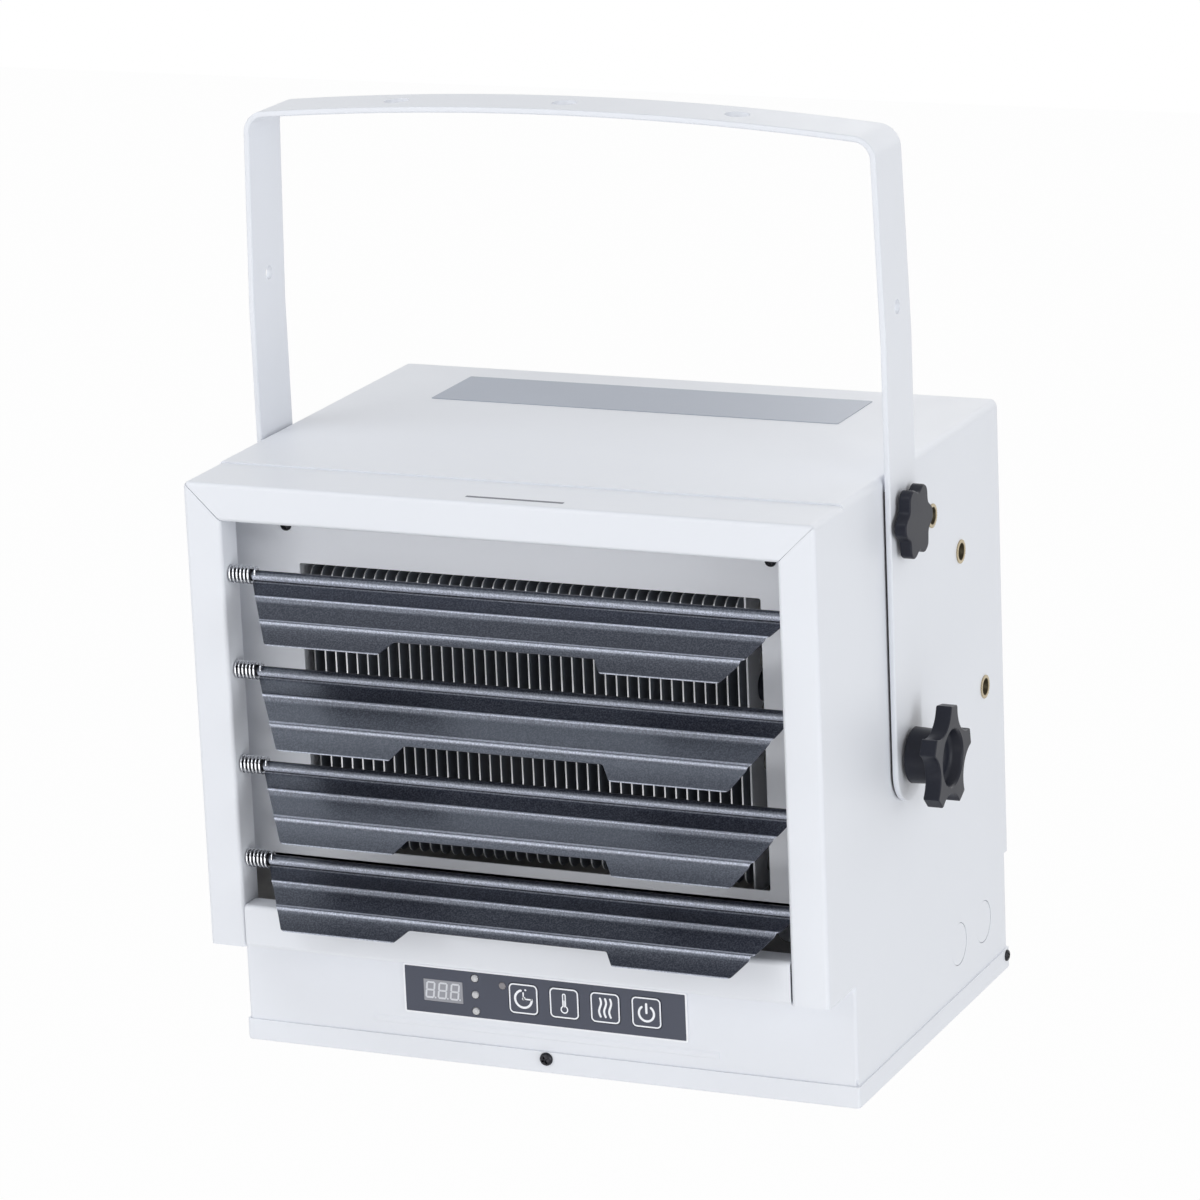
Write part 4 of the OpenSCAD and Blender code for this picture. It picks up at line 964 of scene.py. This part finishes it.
def springs():
    """Coils between the left stile's fold and each louvre, with a hook over the roll's end."""
    start, length, turns, r, wire = 0.55, 12.2, 5.8, 4.2, 0.5
    hook, hook_turn, hook_at, steps, hook_steps = 3.0, 190, 335, 162, 18
    coils = []
    for k in range(len(LOUVRE_TILTS)):
        axis = (LOUVRE_Y, LOUVRE_Z - LOUVRE_PITCH * k)
        line = [(-OPEN_X + start + (length - start) * i / steps,
                 *around(*axis, r, hook_at - 360 * turns * (1 - i / steps)))
                for i in range(steps + 1)]
        line += [(length - OPEN_X + hook * i / hook_steps,
                  *around(*axis, r, hook_at + hook_turn * i / hook_steps))
                 for i in range(1, hook_steps + 1)]
        coils.append(tube(line, wire, 12))
    piece(joined(*coils), "louvre_coil_springs", CHROME, "louvre_springs", 60)


# ------------------------------------------------------------------ heating element


def fins():
    """Forty fins with rounded corners; their narrow edges catch the light."""
    outline = box_outline((46, 80), (103.5, 247.5), 6, 6)
    places = [FIN_CENTRE + FIN_PITCH * (k - (FIN_COUNT - 1) / 2) for k in range(FIN_COUNT)]
    pack = joined(*[prism(outline, (x - FIN_T / 2, x + FIN_T / 2)) for x in places])
    for f in pack.faces:
        f.material_index = 0 if abs(f.normal.x) > 0.5 else 1
    piece(pack, "fin_pack", (FIN_SIDE, FIN_EDGE), "element_fins")


def end_plates():
    parts = [plate([box_outline((44, 82), (100, 257), 1)], (x - 0.5, x + 0.5), "X", 0.15, 1)
             for x in PLATE_XS]
    piece(joined(*parts), "end_plates_folded", PLATE_METAL, "fin_end_plates")


def element_tubes():
    """Three hairpins through the fins, their bends on the right."""
    parts = []
    pitch, first, y, r = 25.8, 111, 63, 4
    x0, x1 = PLATE_XS[0] - 18, PLATE_XS[1] + 3
    for k in (0, 2, 4):
        z = first + k * pitch
        bend = [(u, y, v) for u, v in arc((x1, z + pitch / 2), pitch / 2, -90, 90, 18)]
        parts.append(tube([(x0, y, z), *bend, (x0, y, z + pitch)], r, 20))
        parts += [rod((x0 - 0.2, y, end), (x0 + 6, y, end), r + 0.02, 20, 0.3)
                  for end in (z, z + pitch)]
    piece(joined(*parts), "element_hairpins", SHEATH, "element_tubes", 40)


# ------------------------------------------------------------------ fan


def fan_blades():
    """Five twisted blades on a turned hub."""
    root, stations, slices = 18, 12, 10
    parts = [lathe([(-9, 0), (-9, 15), (-8.2, 17), (-6, 19.4), (-4, 20), (7, 20), (8, 19),
                    (8, 4.2)], (0, FAN_Y, FAN_Z), "Y", 64)]
    for k in range(5):
        rows = []
        for i in range(stations + 1):
            out = i / stations
            r = root + (BLADE_TIP - root) * out
            along, deep = polar(36 + 34 * out, 42 - 18 * out)
            sweep = math.radians(24 + 22 * out ** 0.8) * 0.35
            row = []
            for j in range(slices + 1):
                s = j / slices - 0.5
                round_off = 1 - 0.16 * out ** 6 * (2 * abs(s)) ** 4
                a = math.degrees(along * s / r * round_off + sweep) + 72 * k
                rim = min(r * (1 - 0.02 * (2 * abs(s)) ** 6), BLADE_TIP)
                x, z = around(0, FAN_Z, rim, a)
                row.append((x, FAN_Y + deep * s * 0.8 + 6.4 * (0.25 - s * s), z))
            rows.append(row)
        parts.append(evaluated(skin(rows, ring=False), "SOLIDIFY", thickness=1.4, offset=0,
                               use_rim=True))
    piece(joined(*parts), "fan_blades_pressed", BLADE_METAL, "fan_blade", 35, "fan")


def wire_guard():
    """Rings of round wire on four radial wires, with a pressed centre disc."""
    y, wire, inner, rings = DEPTH + 7.8, 1.1, 13, 6
    parts = []
    for k in range(1, rings + 1):
        r = inner + (GUARD_R - inner) * k / rings
        parts.append(tube([(u, y, v) for u, v in circle(0, FAN_Z, r, 72)], wire, closed=True))
    spoke = ((11, y + wire), (101, y + wire), (103.2, y + 0.6), (GUARD_R, y - 1),
             (GUARD_R, DEPTH + 0.2))
    for a in (45, 135, 225, 315):
        u, v = polar(1, a)
        parts.append(tube([(u * r, depth, FAN_Z + v * r) for r, depth in spoke], wire))
    parts.append(lathe([(-1.2, 0), (-1.2, 12.4), (-0.6, 13), (0.4, 13), (0.9, 12.2), (1.1, 9),
                        (0.3, 7.6), (0.3, 0)], (0, y, FAN_Z)))
    piece(joined(*parts), "inlet_guard_wires", BLUE_ZINC, "fan_guard", 45)


def motor():
    """Motor can with cooling ribs, a stepped nose and four tie bolts."""
    front, back, r, shaft_hole = 187, 229, 40, 4.06
    parts = [lathe([(-37, 0), (-37, 34), (-36, 37), (-34, 39.2), (-32, r), (-14, r), (-13, 38.6),
                    (-11, 38.6), (-10, r), (-3, r), (-1, 39), (0, 37), (0, 5)],
                   (0, back, FAN_Z), "Y", 72),
             lathe([(0, shaft_hole), (0, 18), (1, 20), (6, 20), (6, shaft_hole)],
                   (0, front, FAN_Z))]
    for a in (45, 135, 225, 315):
        u, v = polar(30, a)
        parts.append(pan_head((u, front + 5, FAN_Z + v), (0, -1, 0), 3, 2))
    for u, v in circle(0, FAN_Z, r - 0.4, 24):
        parts.append(rod((u, back - 31, v), (u, back - 15, v), 0.9, 8, 0.3))
    piece(joined(*parts), "motor_can", MOTOR_METAL, "fan_motor", 40)


# ------------------------------------------------------------------ strap bracket


def strap_line():
    """Mid-line of the strap in the (x, z) plane with its half width, from foot to foot."""
    lean, corner_r, bow, bow_reach = 1.7, 11.5, 6.5, 150
    bow_r = (bow_reach ** 2 + bow ** 2) / (2 * bow)
    lean_z = PIVOT_Z + math.hypot(DEPTH - PIVOT_Y, COVER_TOP - PIVOT_Z) + 2
    across = Vector(polar(1, lean))
    up = Vector((-across.y, across.x))
    # The corner's centre: up the leaning arm until the corner touches the bow from inside
    bow_centre = Vector((0, STRAP_TOP - bow_r))
    from_bow = Vector((ARM_X + STRAP_T, lean_z)) - corner_r * across - bow_centre
    along, reach = from_bow.dot(up), bow_r - corner_r
    run = -along + math.sqrt(along ** 2 - from_bow.length_squared + reach ** 2)
    corner = bow_centre + from_bow + run * up

    x, half, foot_z = ARM_X + STRAP_T / 2, STRAP_W / 2, PIVOT_Z - 22.8
    round_top = foot_z + half
    right = []
    for a in (7, 14, 22, 31, 40, 50, 60, 70, 80, 90):
        u, v = polar(half, a)
        right.append((Vector((x, round_top - u)), v))
    path = [Vector((x, round_top + (lean_z - 1 - round_top) * k / 8)) for k in range(1, 9)]
    mid_r, bow_at = corner_r - STRAP_T / 2, heading(corner - bow_centre)
    path += [Vector((x, lean_z + 1)).lerp(corner + across * mid_r, k / 5) for k in range(6)]
    path += arc(corner, mid_r, lean, bow_at, 12)[1:]
    path += arc(bow_centre, bow_r - STRAP_T / 2, bow_at, 90, 24)[1:]
    right += [(p, half) for p in path]
    return right + [(Vector((-p.x, p.y)), w) for p, w in right[-2::-1]]


def strap():
    """The bent flat bar, its edges rounded, with all its holes."""
    t, rows = STRAP_T / 2, []
    for (before, _), (p, w), (after, _) in neighbours(strap_line()):
        out = -left_of(before, after)
        edge = min(0.9, w * 0.45, t * 0.62)
        rows.append([(p.x + out.x * u, PIVOT_Y + v, p.y + out.y * u)
                     for u, v in box_outline((-t, t), (-w, w), edge)])
    cuts = [rod((x, PIVOT_Y, STRAP_TOP - 16), (x, PIVOT_Y, STRAP_TOP + 5), 6.25, 48)
            for x in (-90, 0, 90)]
    cuts += [cross_rod(side, (ARM_X - 4, ARM_X + 7), PIVOT_Y, PIVOT_Z + up, r, 36)
             for side, _ in SIDES for up, r in ((0, 4.05), (LOCK_R, 4.05), (222.5, 3.5))]
    piece(carve(faced(skin(rows, caps=True)), *cuts), "strap_bent", WHITE,
          "strap_bracket", 30, "bracket")


def painted_shade_strips():
    """Thin dark strips on the inner faces of the arms, with room for the nuts' rims; they are
    painted shade, darkening the gap between each arm and the housing.
    """
    half, top, thickness = 16.9, TOP_Z - 6, 0.35
    outline = [*arc((PIVOT_Y, PIVOT_Z - 5), half, 180, 360, 18), (PIVOT_Y + half, top),
               (PIVOT_Y - half, top)]
    holes = [circle(PIVOT_Y, z, 7, 40) for z in (PIVOT_Z, PIVOT_Z + LOCK_R)]
    strips = [plate([outline, *holes], (side * (ARM_X - thickness), side * ARM_X), "X", 0.05, 1)
              for side, _ in SIDES]
    piece(joined(*strips), "strap_painted_shade_strips", PAINTED_SHADE_STRIP, "", 30, "bracket")


def star_knob():
    """Right pivot knob: a hub, five flared arms and a dished face."""
    face, edge_at, step = STAR_X + 8.2, 9.9, 72
    tip_r, scallop_at, scallop_r = 25.9, 31.84, 14.44
    outline = []
    for k in range(5):
        arm = 153 - step * k
        # The arm's straight tip, then round the scallop to the next arm
        for a in (-8.2, -4, 0, 4, 8.2):
            outline.append(Vector(polar(tip_r * polar(1, 9.5)[0] / polar(1, a)[0], arm - a)))
        centre = Vector(polar(scallop_at, arm - step / 2))
        inward = heading(-centre)
        spans = []
        for a in (edge_at, step - edge_at):
            swing = heading(Vector(polar(tip_r - 0.8, arm - a)) - centre) - inward
            spans.append((swing + 180) % 360 - 180)
        outline += arc(centre, scallop_r, inward + spans[0], inward + spans[1], 14)
    star = plate([[(u + PIVOT_Y, v + PIVOT_Z) for u, v in outline]], (STAR_X, face), "X", 0.6, 3)
    star = carve(star, lathe([(-6.4, 0), (-6.4, 10.2), (-5.9, 11.8), (-4.6, 12.7), (-1.4, 13.7),
                              (-0.5, 14.2), (0.2, 14.9), (1, 16)],
                             (face, PIVOT_Y, PIVOT_Z), "X", 64))
    hub = lathe([(0.3, 4.1), (0, 5), (0, 13.2), (0.7, 13.9), (11.6, 13.4), (12.6, 12.6),
                 (13.4, 11)], (KNOB_X, PIVOT_Y, PIVOT_Z), "X", 64)
    boss = lathe([(-6.6, 0), (-6.6, 3.3), (-5.6, 3.2), (-5.3, 2.8), (-5.3, 0)],
                 (face, PIVOT_Y, PIVOT_Z), "X", 40)
    return as_data(joined(star, hub, boss))


def lobe_knob():
    """Right lock knob: six soft lobes and a flat face."""
    z, outline, points = PIVOT_Z + LOCK_R, [], 168
    for k in range(points):
        a = 360 * k / points
        wave = polar(1, 6 * a)[0]
        outline.append(around(PIVOT_Y, z, 16.8 + 2.3 * wave - 0.6 * max(0, wave) ** 3, a))
    body = plate([outline], (KNOB_X + 0.3, KNOB_X + 6.6), "X", 0.9, 4)
    foot = lathe([(0.2, 4.1), (0, 5), (0, 11), (0.8, 12.2)], (KNOB_X, PIVOT_Y, z), "X")
    return as_data(joined(body, foot))


def stud(z, tip, root):
    """Threaded stud along x from its tip to its root."""
    pitch, flank, plain = 0.625, 0.31, 1.2
    profile = [(tip, 0), (tip, 3.2)]
    for i in range(int((root - tip - plain) / pitch)):
        s = tip + 1.0 + pitch * i
        profile += [(s, 3.98), (s + flank, 3.55)]
    return as_data(lathe(profile + [(root, 3.9), (root, 0)], (0, PIVOT_Y, z), "X", 32))


def knobs():
    """The right knobs and studs, and their mirror images on the left."""
    for kind, knob, screw in (
            ("pivot", star_knob(), stud(PIVOT_Z, HALF_W - 12, STAR_X)),
            ("lock", lobe_knob(), stud(PIVOT_Z + LOCK_R, ARM_X + 0.02, KNOB_X + 4.4))):
        for side, label in SIDES:
            body = f"{kind}_knob_{label}_body"
            copied = joined if side == 1 else mirrored
            piece(copied(knob), f"{kind}_knob_{label}_moulded", BLACK_PLASTIC,
                  f"{kind}_knob_{label}", 38, body)
            piece(copied(screw), f"{kind}_stud_{label}_threaded", BLUE_ZINC,
                  f"{kind}_stud_{label}", 30, body)


def washers():
    section = ((0, 4.15), (0, 8), (0.15, 8), (1.05, 8), (1.2, 7.8), (1.2, 4.25))
    parts = [lathe([(side * s, r) for s, r in section], (side * (ARM_X + STRAP_T), PIVOT_Y, z),
                   "X", 48, hollow=True)
             for side, _ in SIDES for z in (PIVOT_Z, PIVOT_Z + LOCK_R)]
    piece(joined(*parts), "strap_washers_turned", BLUE_ZINC, "strap_washers", 30,
          "bracket")


# ------------------------------------------------------------------ top plates and inner parts


def label():
    """Blank foil plate on the cover and a blank strip on the top rail."""
    y = DEPTH - 19.5
    foil = plate([box_outline((-117, 106), (y - 48.5, y), 1.0)], (COVER_TOP, COVER_TOP + 0.3),
                 "Z", 0.1, 1)
    piece(foil, "label_foil_blank", FOIL, "label_plate")
    strip = plate([box_outline((-17, 34), (8.2, 10.4), 0.3)], (TOP_Z, TOP_Z + 0.12), "Z", 0.04, 1)
    piece(strip, "rail_strip_blank", STRIP)


def eased_parts():
    """Eased copies of the plain CAD parts."""
    for args in (("duct_floor", "white_coat", DUCT_PAINTED_LIGHTER, 0.2),
                 ("rear_panel", "white_coat", WHITE, 0.25),
                 ("element_tray", "dark_metal", TRAY_METAL, 0.2),
                 ("fan_shroud", "white_coat", DUCT_PAINTED_LIGHTER, 0.3),
                 ("motor_mount", "dark_metal", MOTOR_METAL, 0.4),
                 ("fan_shaft", "bright_steel", CHROME, 0.4, "fan"),
                 ("thermal_cutout", "knob_plastic", BLACK_PLASTIC, 0.3),
                 ("control_board", "board", BOARD, 0.15),
                 ("board_standoffs", "bright_steel", BLUE_ZINC, 0.2),
                 ("relays", "relay_case", RELAY, 0.6),
                 ("terminal_block", "terminal_body", TERMINAL, 0.4)):
        ease(*args)


# ------------------------------------------------------------------ studio


def camera():
    yaw, pitch, roll = (math.radians(a) for a in (24.28, -15.65, -2.45))
    forward = Vector((-math.sin(yaw) * math.cos(pitch), math.cos(yaw) * math.cos(pitch),
                      math.sin(pitch)))
    level = Vector((math.cos(yaw), math.sin(yaw), 0))
    upright = level.cross(forward)
    right = math.cos(roll) * level + math.sin(roll) * upright
    up = -math.sin(roll) * level + math.cos(roll) * upright
    lens = bpy.data.cameras.new("camera")
    lens.lens, lens.sensor_width, lens.sensor_fit = 166.0, 36, "HORIZONTAL"
    lens.clip_start, lens.clip_end = 0.05, 50
    cam = new_object("camera", lens)
    axes = Matrix((right, up, -forward)).transposed().to_4x4()
    cam.matrix_world = shift(1.0892, -2.3979, 0.4882) @ axes
    bpy.context.scene.camera = cam


def softbox(name, place, size, power, colour=(1, 1, 1), aim=(0, 0.02, -0.3)):
    light = bpy.data.lights.new(name, "AREA")
    light.shape, light.size, light.size_y = "RECTANGLE", *size
    light.energy, light.color = power, colour
    lamp = new_object(name, light)
    lamp.location = place
    lamp.rotation_mode = "QUATERNION"
    lamp.rotation_quaternion = (Vector(aim) - Vector(place)).to_track_quat("-Z", "Y")


def studio():
    """Softboxes, a white surround and a white floor that keeps the heater's shadow."""
    softbox("key_front_left", (-1.3, -2.6, -0.15), (1.5, 2.1), 10.3)
    softbox("key_high_left", (-1.5, -2.1, 0.6), (0.9, 0.5), 4.6)
    softbox("strip_overhead", (-0.86, -1.02, 1.46), (1.8, 0.36), 11.2, (0.92, 0.96, 1))
    softbox("fill_right", (2.4, -1.0, 0.0), (1.6, 1.8), 24.5, (0.95, 0.975, 1))
    softbox("low_front", (0.2, -1.8, -1.1), (1.4, 0.5), 4.8, aim=(0, -0.07, -0.42))
    softbox("rear_rim", (0.3, 2.4, 0.6), (2.4, 1.4), 13)
    world = bpy.data.worlds.new("studio")
    bpy.context.scene.world = world
    world.use_nodes = True
    sky = Nodes(world.node_tree)
    surface = sky.tree.nodes["Background"]
    sky.feed(surface.inputs["Color"], (1, 1, 1))
    seen, through, mirror = sky.rays("Camera", "Transmission", "Glossy")
    sky.feed(surface.inputs["Strength"],
             seen.or_larger(through).or_larger(mirror) * 0.5 + 0.5)

    floor = Finish("floor", Roughness=0.9, Specular_IOR_Level=0.1)
    floor.set("Base_Color", floor.blend(floor.noise(3, 2), (0.93, 0.93, 0.93), (0.90, 0.90, 0.905)))
    seen, mirror, through = floor.rays("Camera", "Glossy", "Transmission")
    white = floor.add("ShaderNodeEmission", None, {"Color": (1, 1, 1), "Strength": 1})
    mixed = floor.add("ShaderNodeMixShader", None, {
        0: (seen + mirror + through) * 0.975, 1: Value(floor, floor.shader.outputs[0]), 2: white})
    floor.feed(floor.tree.nodes["Material Output"].inputs["Surface"], mixed)
    bm = bmesh.new()
    bmesh.ops.create_grid(bm, x_segments=1, y_segments=1, size=9)
    ground = new_object("floor", as_data(bm))
    ground.data.materials.append(floor.material)
    ground.location = (0, 0, -1.8)

    bpy.context.scene.view_settings.view_transform = "Standard"


for build in (housing_wrap, bottom_rail, baffle, screws, rivet_nuts, compartment, base_pan,
              knockouts, keypad, display, lamps, louvres, springs, fins, end_plates,
              element_tubes, fan_blades, wire_guard, motor, strap, painted_shade_strips, knobs,
              washers, label, eased_parts, camera, studio):
    build()
